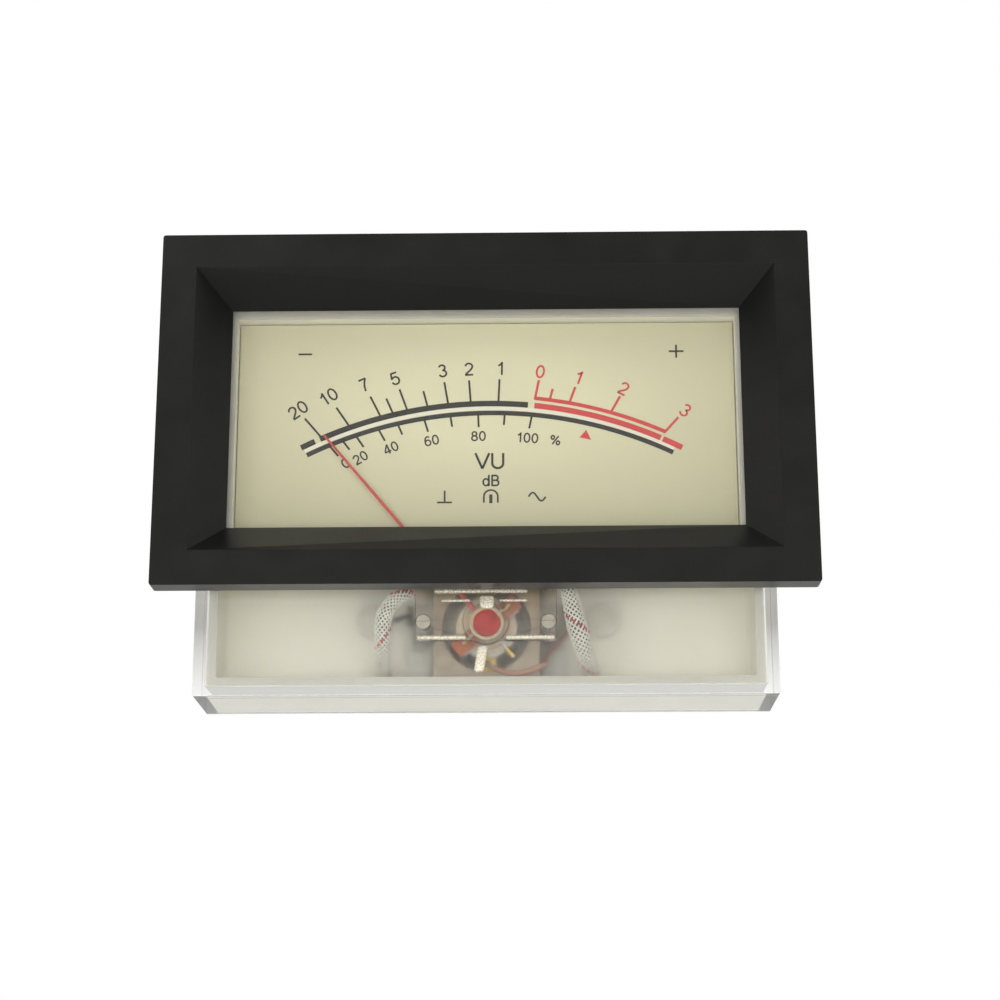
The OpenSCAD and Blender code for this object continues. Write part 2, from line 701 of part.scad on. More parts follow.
module pillars()
    color("#d2bd74") at_pivot() at_pillars() difference() {
        union() {
            rod(y_bridge_back, y_plate, pillar_r);
            rod(y_plate - seat, y_pocket + housing_wall / 3, pillar_stud_r, round_n);
        }
        rod(y_bridge_back - cut, y_bridge_back + bridge_screw_l, bridge_screw_r + seat, round_n);
    }

module rear_spacers()
    color("#d2bd74") at_pivot() at_pillars()
        tube_along_y(y_plate_back, y_rear_bridge, pillar_stud_r + spacer_wall, pillar_stud_r + seat);

module front_bridge()
    color("#d9dcd6", 0.5) at_pivot() difference() {
        union() {
            block(-bridge_half_w, bridge_half_w, y_bridge, y_bridge_back, -bridge_drop, bridge_rise);
            rod(y_boss, y_bridge_back, hub_boss_r);
        }
        rod(y_bridge - cut, y_bridge + jewel_head_t, jewel_head_r + seat);
        rod(y_bridge - cut, y_bridge_back + cut, jewel_screw_r + seat);
        at_pillars() {
            rod(y_bridge - cut, y_bridge_back + cut, bridge_screw_r + 0.1, round_n);
            rod(y_bridge - cut, y_bridge + screw_head_t, screw_head_r + 0.1, round_n);
        }
    }

module bridge_screws()
    color("silver") at_pivot() at_pillars() difference() {
        union() {
            rod(y_bridge, y_bridge + screw_head_t, screw_head_r, round_n);
            rod(y_bridge, y_bridge_back + bridge_screw_l - air, bridge_screw_r, round_n);
        }
        slot(screw_head_r, y_bridge - cut, y_bridge + screw_head_t / 2);
    }

module front_jewel_screw()
    color("#c9a95a") at_pivot() difference() {
        union() {
            rod(y_boss, y_bridge + jewel_head_t, jewel_head_r);
            rod(y_bridge, y_front_jewel, jewel_screw_r);
        }
        rod(y_front_jewel - jewel_t, y_front_jewel + cut, jewel_r, round_n);
    }

module front_jewel()
    color("#a3213a") at_pivot()
        tube_along_y(y_front_jewel - jewel_t, y_front_jewel, jewel_r - seat,
                     pivot_r + pivot_clearance);

// The lacquer dot keeps a shallow mark of the screwdriver slot
module sealing_lacquer()
    color("#b32430") at_pivot() difference() {
        rod(y_boss - lacquer_t, y_boss, lacquer_r);
        block(-0.25, 0.25, y_boss - lacquer_t - cut, y_boss - lacquer_t * 0.6,
              -lacquer_r * 0.7, lacquer_r * 0.7);
    }

module rear_bridge()
    color("#d2bd74") at_pivot() difference() {
        block(-plate_half_w, plate_half_w, y_rear_bridge, y_rear_bridge_back, -bar_half, bar_half);
        rod(y_rear_bridge - cut, y_rear_bridge_back + cut, jewel_screw_r + seat);
        at_pillars()
            rod(y_rear_bridge - cut, y_rear_bridge_back + cut, pillar_stud_r + seat, round_n);
    }

module rear_jewel_screw()
    color("#c9a95a") at_pivot() difference() {
        union() {
            rod(y_rear_jewel, y_pocket - air, jewel_screw_r);
            rod(y_rear_jewel, y_rear_jewel + 0.2, jewel_screw_r + 0.5);
        }
        rod(y_rear_jewel - cut, y_rear_jewel + jewel_t, jewel_r, round_n);
        block(-jewel_slot_w / 2, jewel_slot_w / 2, y_pocket - air - jewel_slot_w, y_pocket,
              -jewel_screw_r - cut, jewel_screw_r + cut);
    }

module rear_jewel()
    color("#a3213a") at_pivot()
        tube_along_y(y_rear_jewel, y_rear_jewel + jewel_t, jewel_r - seat,
                     pivot_r + pivot_clearance);

module rear_jewel_nut()
    color("#c9a95a") at_pivot() difference() {
        hex_along_y(y_rear_bridge_back, y_rear_bridge_back + jewel_nut_t, jewel_nut_af);
        rod(y_rear_bridge_back - cut, y_rear_bridge_back + jewel_nut_t + cut, jewel_screw_r + seat);
    }

module friction_washer()
    color("#b9bcbe") at_pivot()
        tube_along_y(y_lever_back + seat, y_rear_bridge - seat, jewel_screw_r + friction_rim,
                     jewel_screw_r + seat);

// Zero lever: turns on the rear jewel screw and carries the rear spring's outer end
module zero_lever()
    color("#caa65c") at_pivot() difference() {
        union() {
            rod(y_lever, y_lever_back, jewel_screw_r + lever_rim);
            block(-tab_w / 2, tab_w / 2, y_lever, y_lever_back, -tab_r - lever_t / 2, 0);
            block(-tab_w / 2, tab_w / 2, y_lever, y_rear + tab_out, -tab_r - lever_t / 2,
                  -tab_r + lever_t / 2);
            block(-anchor_w / 2, anchor_w / 2, y_lever, y_lever_back, 0, spring_out_r + anchor_w);
            block(-anchor_w / 2, anchor_w / 2, y_rear_spring, y_lever_back,
                  spring_out_r + strip_t / 2 + seat, spring_out_r + anchor_w);
        }
        rod(y_lever - cut, y_lever_back + cut, jewel_screw_r + 0.05);
    }

// Moving coil and pointer, drawn with the pointer upright and then turned to rest
module pointer()
    color("#c0493c") with_pointer() translate([0, y_hub, 0]) rotate([90, 0, 0])
        linear_extrude(pointer_t) difference() {
            union() {
                circle(hub_r - 0.3, $fn = round_n);
                polygon([[-pointer_root_w / 2, 0], [pointer_root_w / 2, 0],
                         [pointer_tip_w / 2, pointer_l], [-pointer_tip_w / 2, pointer_l]]);
            }
            circle(staff_r + seat, $fn = round_n);
        }

module pointer_hub()
    color("#c7c9cb") with_pointer() difference() {
        union() {
            rod(y_hub, y_hub + hub_t, hub_r);
            block(-side_arm_l, side_arm_l, y_hub, y_hub + arm_t, -arm_w / 2, arm_w / 2);
            block(-arm_w / 2, arm_w / 2, y_hub, y_hub + arm_t, -tail_l, 0);
        }
        rod(y_hub - cut, y_hub + hub_t + cut, staff_r + seat, round_n);
    }

module weight(l)
    difference() {
        translate([0, 0, -l / 2]) cylinder(h = l, r = weight_r, $fn = round_n);
        block(-arm_w / 2 - seat, arm_w / 2 + seat, -arm_t / 2 - seat, arm_t / 2 + seat, -l, l);
    }

module balance_weights()
    color("#9b9da0") with_pointer() translate([0, y_hub + arm_t / 2, 0]) {
        for (side = [-1, 1]) translate([side * (side_arm_l - 1), 0, 0]) rotate([0, 90, 0]) weight(1.4);
        translate([0, 0, -tail_l + 1.2]) weight(2);
    }

module coil_loop(x_out, y0, y1, wall, w)
    difference() {
        block(-x_out, x_out, y0, y1, -w / 2, w / 2);
        block(-x_out + wall, x_out - wall, y0 + wall, y1 - wall, -w, w);
    }

module coil_former()
    color("#c9cbcc") with_pointer()
        coil_loop(former_out, y_former, y_former_back, former_t, coil_w);

module coil_winding()
    color("#b3562f") with_pointer()
        coil_loop(coil_out, y_coil, y_coil_back, winding_t, coil_w - 0.4);

module front_pivot()
    color("#8f9294") with_pointer() {
        rod(y_front_jewel - jewel_t + 0.1, y_hub, pivot_r, round_n);
        rod(y_hub - 0.1, y_coil - seat, staff_r, round_n);
        rod(y_spring - 0.05, y_spring + strip_w + 0.05, collet_r, round_n);
        rod(y_coil - 0.2, y_coil, hub_r - 0.4, round_n);
    }

module rear_pivot()
    color("#8f9294") with_pointer() {
        rod(y_coil_back, y_coil_back + 0.2, hub_r - 0.4, round_n);
        rod(y_coil_back, y_rear_jewel - 0.1, staff_r, round_n);
        rod(y_rear_spring - 0.05, y_rear_spring + strip_w + 0.05, collet_r, round_n);
        rod(y_rear_jewel - 0.2, y_rear_jewel + jewel_t - 0.1, pivot_r, round_n);
    }

// A flat spiral from the collet to its anchor, which stands at end_angle from upright
spring_steps = 24;
spring_pitch = (spring_out_r - spring_in_r) / spring_turns;
echo(least_gap_between_spring_turns = spring_pitch - strip_t);
function spiral(offset, end_angle) = [
    for (k = [0 : spring_turns * spring_steps])
        let (f = k / (spring_turns * spring_steps),
             r = spring_in_r + (spring_out_r - spring_in_r) * f + offset,
             a = end_angle - 360 * spring_turns * (1 - f))
            [r * sin(a), r * cos(a)]
];
function turned_back(p) = [for (i = [len(p) - 1 : -1 : 0]) p[i]];
module hairspring(y, end_angle)
    color("#b98a4a") at_pivot() translate([0, y + strip_w, 0]) rotate([90, 0, 0])
        linear_extrude(strip_w)
            polygon(concat(spiral(strip_t / 2, end_angle),
                           turned_back(spiral(-strip_t / 2, end_angle))));

bezel_frame();
bezel_adhesive();
front_cover();
base_tray();
dial_plate();
dial_screws();
stop_pegs();
lamp_holders();
lamp_caps();
lamp_bulb(-1);  // lamp_bulb_left
lamp_bulb(1);  // lamp_bulb_right
lamp_sleeve_left();
lamp_sleeve_right();
lamp_pins();
terminal_studs();
terminal_washers();
solder_lugs();
terminal_nuts();
signal_lead_red();
signal_lead_black();
movement_plate();
yoke();
yoke_screws();
core_magnet();
core_clamps();
pillars();
rear_spacers();
front_bridge();
bridge_screws();
front_jewel_screw();
front_jewel();
sealing_lacquer();
rear_bridge();
rear_jewel_screw();
rear_jewel();
rear_jewel_nut();
friction_washer();
zero_lever();
pointer();
pointer_hub();
balance_weights();
coil_former();
coil_winding();
front_pivot();
rear_pivot();
hairspring(y_spring, 180);  // front_hairspring
hairspring(y_rear_spring, 0);  // rear_hairspring
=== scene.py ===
import math

import bmesh
import bpy
from mathutils import Matrix, Vector


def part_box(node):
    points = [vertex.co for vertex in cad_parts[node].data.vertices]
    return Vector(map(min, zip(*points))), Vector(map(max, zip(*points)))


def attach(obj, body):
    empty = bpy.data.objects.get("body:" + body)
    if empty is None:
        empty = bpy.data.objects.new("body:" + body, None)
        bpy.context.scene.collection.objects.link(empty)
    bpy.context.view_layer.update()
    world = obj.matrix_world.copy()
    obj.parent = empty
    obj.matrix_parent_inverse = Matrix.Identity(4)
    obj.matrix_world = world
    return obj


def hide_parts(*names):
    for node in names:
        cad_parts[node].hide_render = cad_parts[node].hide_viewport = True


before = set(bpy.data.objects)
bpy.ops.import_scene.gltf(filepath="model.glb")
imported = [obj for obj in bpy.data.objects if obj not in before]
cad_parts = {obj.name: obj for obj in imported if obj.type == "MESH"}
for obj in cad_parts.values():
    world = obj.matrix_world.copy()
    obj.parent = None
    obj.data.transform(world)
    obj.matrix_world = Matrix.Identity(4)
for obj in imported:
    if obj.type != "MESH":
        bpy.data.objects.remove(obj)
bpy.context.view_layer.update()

mm = 0.001
pivotX, pivotZ = 0.0, -38.4          # pointer axis, in mm
restAngle = -39.9                    # pointer at rest, degrees from upright
scene = bpy.context.scene


# Colours are given as they look on a screen, 0 to 255
def tone(red, green, blue):
    return tuple(c / 12.92 if c <= 0.04045 else ((c + 0.055) / 1.055) ** 2.4
                 for c in (red / 255, green / 255, blue / 255)) + (1,)


def front(node):
    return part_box(node)[0][1] / mm


def back(node):
    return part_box(node)[1][1] / mm


# Camera
camera = {
    "lens": 79.2,
    "place": (0.0089, -0.3848, -0.1275),
    "upward": 16.03,
    "yaw": -0.925,
    "roll": -0.106,
}


def setCamera():
    yaw, up, roll = (math.radians(camera[k]) for k in ("yaw", "upward", "roll"))
    forward = Vector((math.sin(yaw) * math.cos(up), math.cos(yaw) * math.cos(up), math.sin(up)))
    right = forward.cross(Vector((0, 0, 1))).normalized()
    above = right.cross(forward)
    right, above = (right * math.cos(roll) + above * math.sin(roll),
                    above * math.cos(roll) - right * math.sin(roll))
    data = bpy.data.cameras.new("photoCamera")
    data.lens, data.sensor_width, data.sensor_height = camera["lens"], 36, 36
    data.clip_start, data.clip_end = 0.01, 20
    ob = bpy.data.objects.new("photoCamera", data)
    scene.collection.objects.link(ob)
    turn = Matrix((right, above, -forward)).transposed().to_4x4()
    ob.matrix_world = Matrix.Translation(camera["place"]) @ turn
    scene.camera = ob


# Studio: white all round for the eye, softer for the light it sheds
studio = {
    "ambient": 0.6,
    "floorHeight": -0.2,
    "floorReach": 2.5,
    "floorTone": (236, 236, 233),
    "aim": (0, 0.01, -0.01),             # every lamp points here
    "lamps": {
        "keyLamp": {"place": (-0.28, -0.42, 0.42), "size": (0.34, 0.22), "power": 0.52},
        "fillLamp": {"place": (0.5, -0.5, 0.12), "size": (0.5, 0.5), "power": 0.3},
        "lowLamp": {"place": (-0.06, -0.5, -0.14), "size": (0.8, 0.16), "power": 1.62},
        "edgeLamp": {"place": (0.1, -0.5, -0.3), "size": (0.6, 0.016), "power": 0.13},
        "underLamp": {"place": (0.0, 0.04, -0.19), "size": (0.5, 0.08), "power": 0.22},
        "rearLamp": {"place": (0.2, 0.6, 0.3), "size": (0.5, 0.4), "power": 1.6},
    },
    # a dark card seen only in reflections, so that black and clear plastic stay deep from the front
    "card": {"place": (-0.02, -0.85, 0.27), "half": (0.5, 0.32), "tone": (34, 34, 32)},
}


def setStudio():
    world = bpy.data.worlds.new("studioWhite")
    world.use_nodes = True
    tree = world.node_tree
    tree.nodes.clear()
    path = tree.nodes.new("ShaderNodeLightPath")
    ambient = addNode(tree, "ShaderNodeBackground", Color=(1, 1, 1, 1), Strength=studio["ambient"])
    white = addNode(tree, "ShaderNodeBackground", Color=(1, 1, 1, 1))
    seen = path.outputs["Is Camera Ray"]
    for name in ("Is Glossy Ray", "Is Transmission Ray"):
        seen = mathOf(tree, "MAXIMUM", seen, path.outputs[name])
    out = tree.nodes.new("ShaderNodeOutputWorld")
    tree.links.new(mixOf(tree, seen, ambient, white), out.inputs["Surface"])
    scene.world = world

    for name, lamp in studio["lamps"].items():
        data = bpy.data.lights.new(name, "AREA")
        data.shape = "RECTANGLE"
        data.size, data.size_y = lamp["size"]
        data.energy = lamp["power"]
        ob = bpy.data.objects.new(name, data)
        scene.collection.objects.link(ob)
        toObject = Vector(studio["aim"]) - Vector(lamp["place"])
        ob.matrix_world = (Matrix.Translation(lamp["place"])
                           @ toObject.to_track_quat("-Z", "Y").to_matrix().to_4x4())
        ob.visible_camera = ob.visible_transmission = False

    square = ((-1, -1), (1, -1), (1, 1), (-1, 1))
    reach = studio["floorReach"]
    height = studio["floorHeight"]
    stageSheet("studioFloor", [(sx * reach, sy * reach, height) for sx, sy in square],
               studio["floorTone"])
    x, y, z = studio["card"]["place"]
    w, h = studio["card"]["half"]
    card = stageSheet("darkCard", [(x + sx * w, y, z + sz * h) for sx, sz in square],
                      studio["card"]["tone"])
    card.visible_camera = card.visible_diffuse = card.visible_shadow = False
    card.visible_transmission = False


def stageSheet(name, corners, color):
    mesh = bpy.data.meshes.new(name)
    mesh.from_pydata(corners, [], [(0, 1, 2, 3)])
    mesh.materials.append(surface(name, [color] * 2, 200, (0.85, 0.95), 4, 0))
    ob = bpy.data.objects.new(name, mesh)
    scene.collection.objects.link(ob)
    return ob


# Materials
def newMaterial(name):
    material = bpy.data.materials.new(name)
    material.use_nodes = True
    return material, material.node_tree, material.node_tree.nodes["Principled BSDF"]


def addNode(tree, kind, **inputs):
    node = tree.nodes.new(kind)
    for key, value in inputs.items():
        node.inputs[key].default_value = value
    return node


def mathOf(tree, operation, *sources):
    node = tree.nodes.new("ShaderNodeMath")
    node.operation = operation
    for i, source in enumerate(sources):
        if isinstance(source, float):
            node.inputs[i].default_value = source
        else:
            tree.links.new(source, node.inputs[i])
    return node.outputs[0]


def timesOf(tree, first, second):
    return mathOf(tree, "MULTIPLY", first, second)


def mixOf(tree, share, first, second):
    mix = tree.nodes.new("ShaderNodeMixShader")
    for i, source in enumerate((share, first.outputs[0], second.outputs[0])):
        tree.links.new(source, mix.inputs[i])
    return mix.outputs[0]


def scaledOf(tree, color, share):
    scaled = tree.nodes.new("ShaderNodeVectorMath")
    scaled.operation = "SCALE"
    tree.links.new(color, scaled.inputs[0])
    tree.links.new(share, scaled.inputs["Scale"])
    return scaled.outputs[0]


def axisOf(tree, axis):
    place = tree.nodes.new("ShaderNodeTexCoord")
    split = tree.nodes.new("ShaderNodeSeparateXYZ")
    tree.links.new(place.outputs["Object"], split.inputs[0])
    return split.outputs[axis]


# Distance from the origin after the mapping
def reachOf(tree, **mapping):
    place = tree.nodes.new("ShaderNodeTexCoord")
    moved = addNode(tree, "ShaderNodeMapping", **mapping)
    length = tree.nodes.new("ShaderNodeVectorMath")
    length.operation = "LENGTH"
    tree.links.new(place.outputs["Object"], moved.inputs["Vector"])
    tree.links.new(moved.outputs["Vector"], length.inputs[0])
    return length.outputs["Value"]


def noiseOf(tree, size, stretch=(1, 1, 1)):
    place = tree.nodes.new("ShaderNodeTexCoord")
    mapping = addNode(tree, "ShaderNodeMapping", Scale=stretch)
    noise = addNode(tree, "ShaderNodeTexNoise", Scale=1 / (size * mm), Detail=4.0)
    tree.links.new(place.outputs["Object"], mapping.inputs["Vector"])
    tree.links.new(mapping.outputs["Vector"], noise.inputs["Vector"])
    return noise.outputs["Fac"]


def rampOf(tree, source, tones, low=0.35, high=0.65):
    ramp = tree.nodes.new("ShaderNodeValToRGB")
    elements = ramp.color_ramp.elements
    elements[0].position, elements[1].position = low, high
    elements[0].color, elements[1].color = tone(*tones[0]), tone(*tones[1])
    tree.links.new(source, ramp.inputs["Fac"])
    return ramp.outputs["Color"]


def rangeOf(tree, source, start, end, low, high):
    node = addNode(tree, "ShaderNodeMapRange")
    for key, value in (("From Min", start), ("From Max", end), ("To Min", low), ("To Max", high)):
        node.inputs[key].default_value = value
    tree.links.new(source, node.inputs["Value"])
    return node.outputs["Result"]


def bumpOf(tree, shader, source, depth):
    bump = addNode(tree, "ShaderNodeBump", Strength=1.0, Distance=depth * mm)
    tree.links.new(source, bump.inputs["Height"])
    tree.links.new(bump.outputs["Normal"], shader.inputs["Normal"])


def wearOn(tree, shader, size, rough, stretch=(1, 1, 1)):
    wear = rangeOf(tree, noiseOf(tree, size, stretch), 0.3, 0.7, *rough)
    tree.links.new(wear, shader.inputs["Roughness"])


# tones: two shades that drift into each other over patch mm; rough: least and most roughness;
# grain and depth: size and height of the fine texture, in mm
def surface(name, tones, patch, rough, grain, depth, stretch=(1, 1, 1), **sockets):
    material, tree, shader = newMaterial(name)
    tree.links.new(rampOf(tree, noiseOf(tree, patch), tones), shader.inputs["Base Color"])
    wearOn(tree, shader, patch / 3, rough, stretch)
    if depth:
        bumpOf(tree, shader, noiseOf(tree, grain, stretch), depth)
    for key, value in sockets.items():
        shader.inputs[key.replace("_", " ")].default_value = value
    return material


def clearPlastic(name, color, ior, rough=0.0):
    material, tree, shader = newMaterial(name)
    shader.inputs["Base Color"].default_value = color
    shader.inputs["Roughness"].default_value = rough
    shader.inputs["IOR"].default_value = ior
    shader.inputs["Transmission Weight"].default_value = 1
    path = tree.nodes.new("ShaderNodeLightPath")
    clear = addNode(tree, "ShaderNodeBsdfTransparent", Color=color)
    mixed = mixOf(tree, path.outputs["Is Shadow Ray"], shader, clear)
    tree.links.new(mixed, tree.nodes["Material Output"].inputs["Surface"])
    return material, tree, shader


# Pieces
smallEdge = 0.15                     # rounding of small turned parts, in mm


def circle(count):
    return [2 * math.pi * k / count for k in range(count)]


# sharp: edges steeper than this angle stay hard, in degrees
def addPiece(name, bm, material, body, sharp):
    bmesh.ops.recalc_face_normals(bm, faces=bm.faces)
    mesh = bpy.data.meshes.new(name)
    bm.to_mesh(mesh)
    bm.free()
    mesh.materials.append(material)
    for face in mesh.polygons:
        face.use_smooth = True
    mesh.set_sharp_from_angle(angle=math.radians(sharp))
    ob = bpy.data.objects.new(name, mesh)
    scene.collection.objects.link(ob)
    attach(ob, body)
    return ob


def dress(material, *names):
    for name in names:
        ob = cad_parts[name]
        if not ob.material_slots:
            ob.data.materials.append(material)
        for place in ob.material_slots:
            place.material = material


def softenEdges(width, *names):
    for name in names:
        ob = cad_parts[name]
        weld = ob.modifiers.new("weld", "WELD")
        weld.merge_threshold = 0.00001
        bevel = ob.modifiers.new("bevel", "BEVEL")
        bevel.width, bevel.segments = width * mm, 3
        bevel.limit_method, bevel.angle_limit = "ANGLE", math.radians(40)
        bevel.harden_normals = True


# Turned shape: profile is (distance from the axis, y) in mm, turned round the line through (x, z);
# wobble gives how far out of round it is at an angle, as a share
def lathe(bm, profile, x, z, sides, wobble):
    rings = []
    for r, y in profile:
        ring = []
        for a in circle(sides):
            reach = r * (1 + wobble(a))
            ring.append(bm.verts.new(((x + reach * math.sin(a)) * mm, y * mm,
                                      (z + reach * math.cos(a)) * mm)))
        rings.append(ring)
    for a, b in zip(rings, rings[1:]):
        for k in range(sides):
            bm.faces.new((a[k], a[(k + 1) % sides], b[(k + 1) % sides], b[k]))
    bm.faces.new(rings[0])
    bm.faces.new(rings[-1])


# Smooth curve through given points, as evenly spaced stations with a carried cross-section
def stationsOn(route, step):
    points = [Vector(p) for p in route]
    dense = []
    for i in range(len(points) - 1):
        a, b = points[max(i - 1, 0)], points[i]
        c, d = points[i + 1], points[min(i + 2, len(points) - 1)]
        for k in range(24):
            t = k / 24
            dense.append(0.5 * (2 * b + (c - a) * t + (2 * a - 5 * b + 4 * c - d) * t * t
                                + (3 * b - a - 3 * c + d) * t ** 3))
    dense.append(points[-1])
    length = sum((q - p).length for p, q in zip(dense, dense[1:]))
    count = max(int(length / step), 2)
    stations, gone, i = [], 0.0, 0
    for k in range(count + 1):
        wanted = length * k / count
        while i < len(dense) - 2 and gone + (dense[i + 1] - dense[i]).length < wanted:
            gone += (dense[i + 1] - dense[i]).length
            i += 1
        part = (dense[i + 1] - dense[i]).length
        stations.append(dense[i].lerp(dense[i + 1], min((wanted - gone) / part, 1)))
    side, out = Vector((0, 0.2, 1)), []
    for k, point in enumerate(stations):
        along = (stations[min(k + 1, count)] - stations[max(k - 1, 0)]).normalized()
        side = (side - along * side.dot(along)).normalized()
        out.append((point, along, side, along.cross(side), length * k / count))
    return out


def loft(bm, rings):
    made = [[bm.verts.new(p * mm) for p in ring] for ring in rings]
    n = len(made[0])
    for a, b in zip(made, made[1:]):
        for k in range(n):
            bm.faces.new((a[k], a[(k + 1) % n], b[(k + 1) % n], b[k]))
    bm.faces.new(made[0])
    bm.faces.new(made[-1])


# radius is a number, or a function of the length gone
def tubeAlong(bm, stations, radius, sides):
    rings = []
    for point, along, side, across, gone in stations:
        r = radius(gone) if callable(radius) else radius
        rings.append([point + r * (math.cos(a) * side + math.sin(a) * across)
                      for a in circle(sides)])
    loft(bm, rings)


setCamera()

tapeBlack = surface("tapeBlack", [(18, 18, 18), (26, 26, 26)], 3, (0.7, 0.85), 0.4, 0.01)
platedSteel = surface("platedSteel", [(196, 198, 200), (216, 217, 219)], 1.5, (0.16, 0.3), 0.12,
                      0.002, Metallic=1.0)
brass = surface("brass", [(196, 168, 98), (214, 186, 116)], 2, (0.22, 0.38), 0.1, 0.002,
                Metallic=1.0)
plateAlloy = surface("plateAlloy", [(186, 186, 182), (204, 204, 200)], 3, (0.3, 0.45), 0.15, 0.003,
                     (1, 1, 0.08), Metallic=1.0)
plateMatt = surface("plateMatt", [(206, 202, 189), (216, 212, 200)], 3, (0.45, 0.6), 0.2, 0.005,
                    Metallic=0.1)
nickel = surface("nickel", [(214, 209, 195), (226, 221, 208)], 2, (0.3, 0.45), 0.1, 0.002,
                 Metallic=0.35)
capAlloy = surface("capAlloy", [(176, 174, 166), (196, 194, 186)], 1.2, (0.3, 0.45), 0.2, 0.004,
                   Metallic=1.0)
screwAlloy = surface("screwAlloy", [(166, 158, 144), (184, 176, 161)], 1.2, (0.4, 0.55), 0.2, 0.004,
                     Metallic=0.8)
magnetGrey = surface("magnetGrey", [(206, 198, 184), (218, 211, 198)], 2, (0.35, 0.5), 0.2, 0.004,
                     Metallic=0.3)
springBronze = surface("springBronze", [(186, 138, 84), (206, 158, 102)], 1, (0.25, 0.4), 0.1,
                       0.001, Metallic=1.0)
holderRubber = surface("holderRubber", [(222, 221, 212), (232, 231, 224)], 2, (0.6, 0.75), 0.25,
                       0.008)
leadRed = surface("leadRed", [(172, 124, 104), (184, 138, 118)], 2, (0.4, 0.5), 0.2, 0.004)
leadBlack = surface("leadBlack", [(28, 28, 28), (38, 38, 38)], 2, (0.4, 0.5), 0.2, 0.004)
solderTin = surface("solderTin", [(186, 188, 192), (206, 208, 211)], 0.8, (0.18, 0.4), 0.25, 0.01,
                    Metallic=1.0)
print("plain materials made")

# Window frame: satin black, with painted shade darkening the slanted walls of the recess
window = {
    "tones": [(22, 22, 19), (26, 26, 23)],
    "wallShadeShare": 0.22,               # painted shade: how much of that tone the slanted walls keep
    "opening": (53.6, 27.2),         # half width and height of the front opening
    "rough": (0.33, 0.37),
    "specular": 0.35,
    "edge": 0.22,
}


def insideOf(tree, axis, half):
    size = mathOf(tree, "ABSOLUTE", axisOf(tree, axis))
    return rangeOf(tree, size, (half - 0.1) * mm, (half + 0.1) * mm, 1.0, 0.0)


def makeFrameMaterial():
    material, tree, shader = newMaterial("frameBlack")
    # painted shade: the slanted walls inside the opening get a darker black
    walls = timesOf(tree, insideOf(tree, "X", window["opening"][0]),
                    insideOf(tree, "Z", window["opening"][1]))
    share = rangeOf(tree, walls, 0.0, 1.0, 1.0, window["wallShadeShare"])
    black = rampOf(tree, noiseOf(tree, 9), window["tones"])
    tree.links.new(scaledOf(tree, black, share), shader.inputs["Base Color"])
    wearOn(tree, shader, 6, window["rough"])
    shader.inputs["Specular IOR Level"].default_value = window["specular"]
    bumpOf(tree, shader, noiseOf(tree, 0.35), 0.004)
    return material


softenEdges(window["edge"], "bezel_frame")
dress(makeFrameMaterial(), "bezel_frame")
dress(tapeBlack, "bezel_adhesive")

# Clear cover, frosted inside its front wall below the window
cover = {
    "color": (0.958, 0.96, 0.944, 1),
    "ior": 1.49,
    "wall": 2.0,                         # thickness of its front wall
    "frost": 0.27,                       # roughness of the frosted face
    "frostTop": -23.0,                   # the frosted face ends here, behind the frame
    "haze": 0.04,                        # share of plain milky plastic on that face
    "rearShadeTint": (0.2, 0.196, 0.172, 1),  # painted shade: dark tint on the rear edge, fading towards the bottom
    "rearFade": (-50.0, -37.0),
    "rearLeast": 0.15,                   # share of the tint left at the bottom
    "rearMatt": 0.3,
    "edge": 0.25,
}


def makeCoverMaterial():
    material, tree, shader = clearPlastic("coverClear", cover["color"], cover["ior"])
    inside, rear = front("front_cover") + cover["wall"], back("front_cover")
    y, z = axisOf(tree, "Y"), axisOf(tree, "Z")
    below = rangeOf(tree, z, (cover["frostTop"] - 1) * mm, cover["frostTop"] * mm, 1.0, 0.0)
    nearFace = timesOf(tree, rangeOf(tree, y, (inside - 0.4) * mm, (inside - 0.1) * mm, 0.0, 1.0),
                       rangeOf(tree, y, (inside + 0.1) * mm, (inside + 0.4) * mm, 1.0, 0.0))
    frosted = timesOf(tree, below, nearFace)
    rearFace = rangeOf(tree, y, (rear - 0.35) * mm, (rear - 0.15) * mm, 0.0, 1.0)
    rough = mathOf(tree, "ADD", timesOf(tree, frosted, cover["frost"]),
                   timesOf(tree, rearFace, cover["rearMatt"]))
    tree.links.new(rough, shader.inputs["Roughness"])
    tree.links.new(rangeOf(tree, frosted, 0.0, 1.0, 1.0, 1 - cover["haze"]),
                   shader.inputs["Transmission Weight"])
    # painted shade: the rear edge is tinted dark, most at the top, fading towards the bottom
    ramp = tree.nodes.new("ShaderNodeValToRGB")
    ramp.color_ramp.elements[0].color = cover["color"]
    ramp.color_ramp.elements[1].color = cover["rearShadeTint"]
    z0, z1 = cover["rearFade"]
    fade = rangeOf(tree, z, z0 * mm, z1 * mm, cover["rearLeast"], 1.0)
    tree.links.new(timesOf(tree, rearFace, fade), ramp.inputs["Fac"])
    tree.links.new(ramp.outputs["Color"], shader.inputs["Base Color"])
    return material


softenEdges(cover["edge"], "front_cover")
dress(makeCoverMaterial(), "front_cover")

# Tray: off-white plastic that lets a little light through
tray = {
    "tones": [(230, 227, 215), (235, 232, 221)],
    "rimShadeShare": 0.6,                     # painted shade: the front rim is darker than the inside
    "rough": (0.42, 0.55),
    "subsurface": {"Weight": 0.5, "Radius": (1.0, 0.96, 0.88), "Scale": 0.003},
    "edge": 0.2,
}


def makeTrayMaterial():
    material, tree, shader = newMaterial("trayWhite")
    rim = front("base_tray")
    # painted shade: the front rim is darkened
    share = rangeOf(tree, axisOf(tree, "Y"), (rim + 0.2) * mm, (rim + 0.5) * mm,
                    tray["rimShadeShare"], 1.0)
    white = rampOf(tree, noiseOf(tree, 14), tray["tones"])
    tree.links.new(scaledOf(tree, white, share), shader.inputs["Base Color"])
    wearOn(tree, shader, 5, tray["rough"])
    for key, value in tray["subsurface"].items():
        shader.inputs["Subsurface " + key].default_value = value
    bumpOf(tree, shader, noiseOf(tree, 0.5), 0.004)
    return material


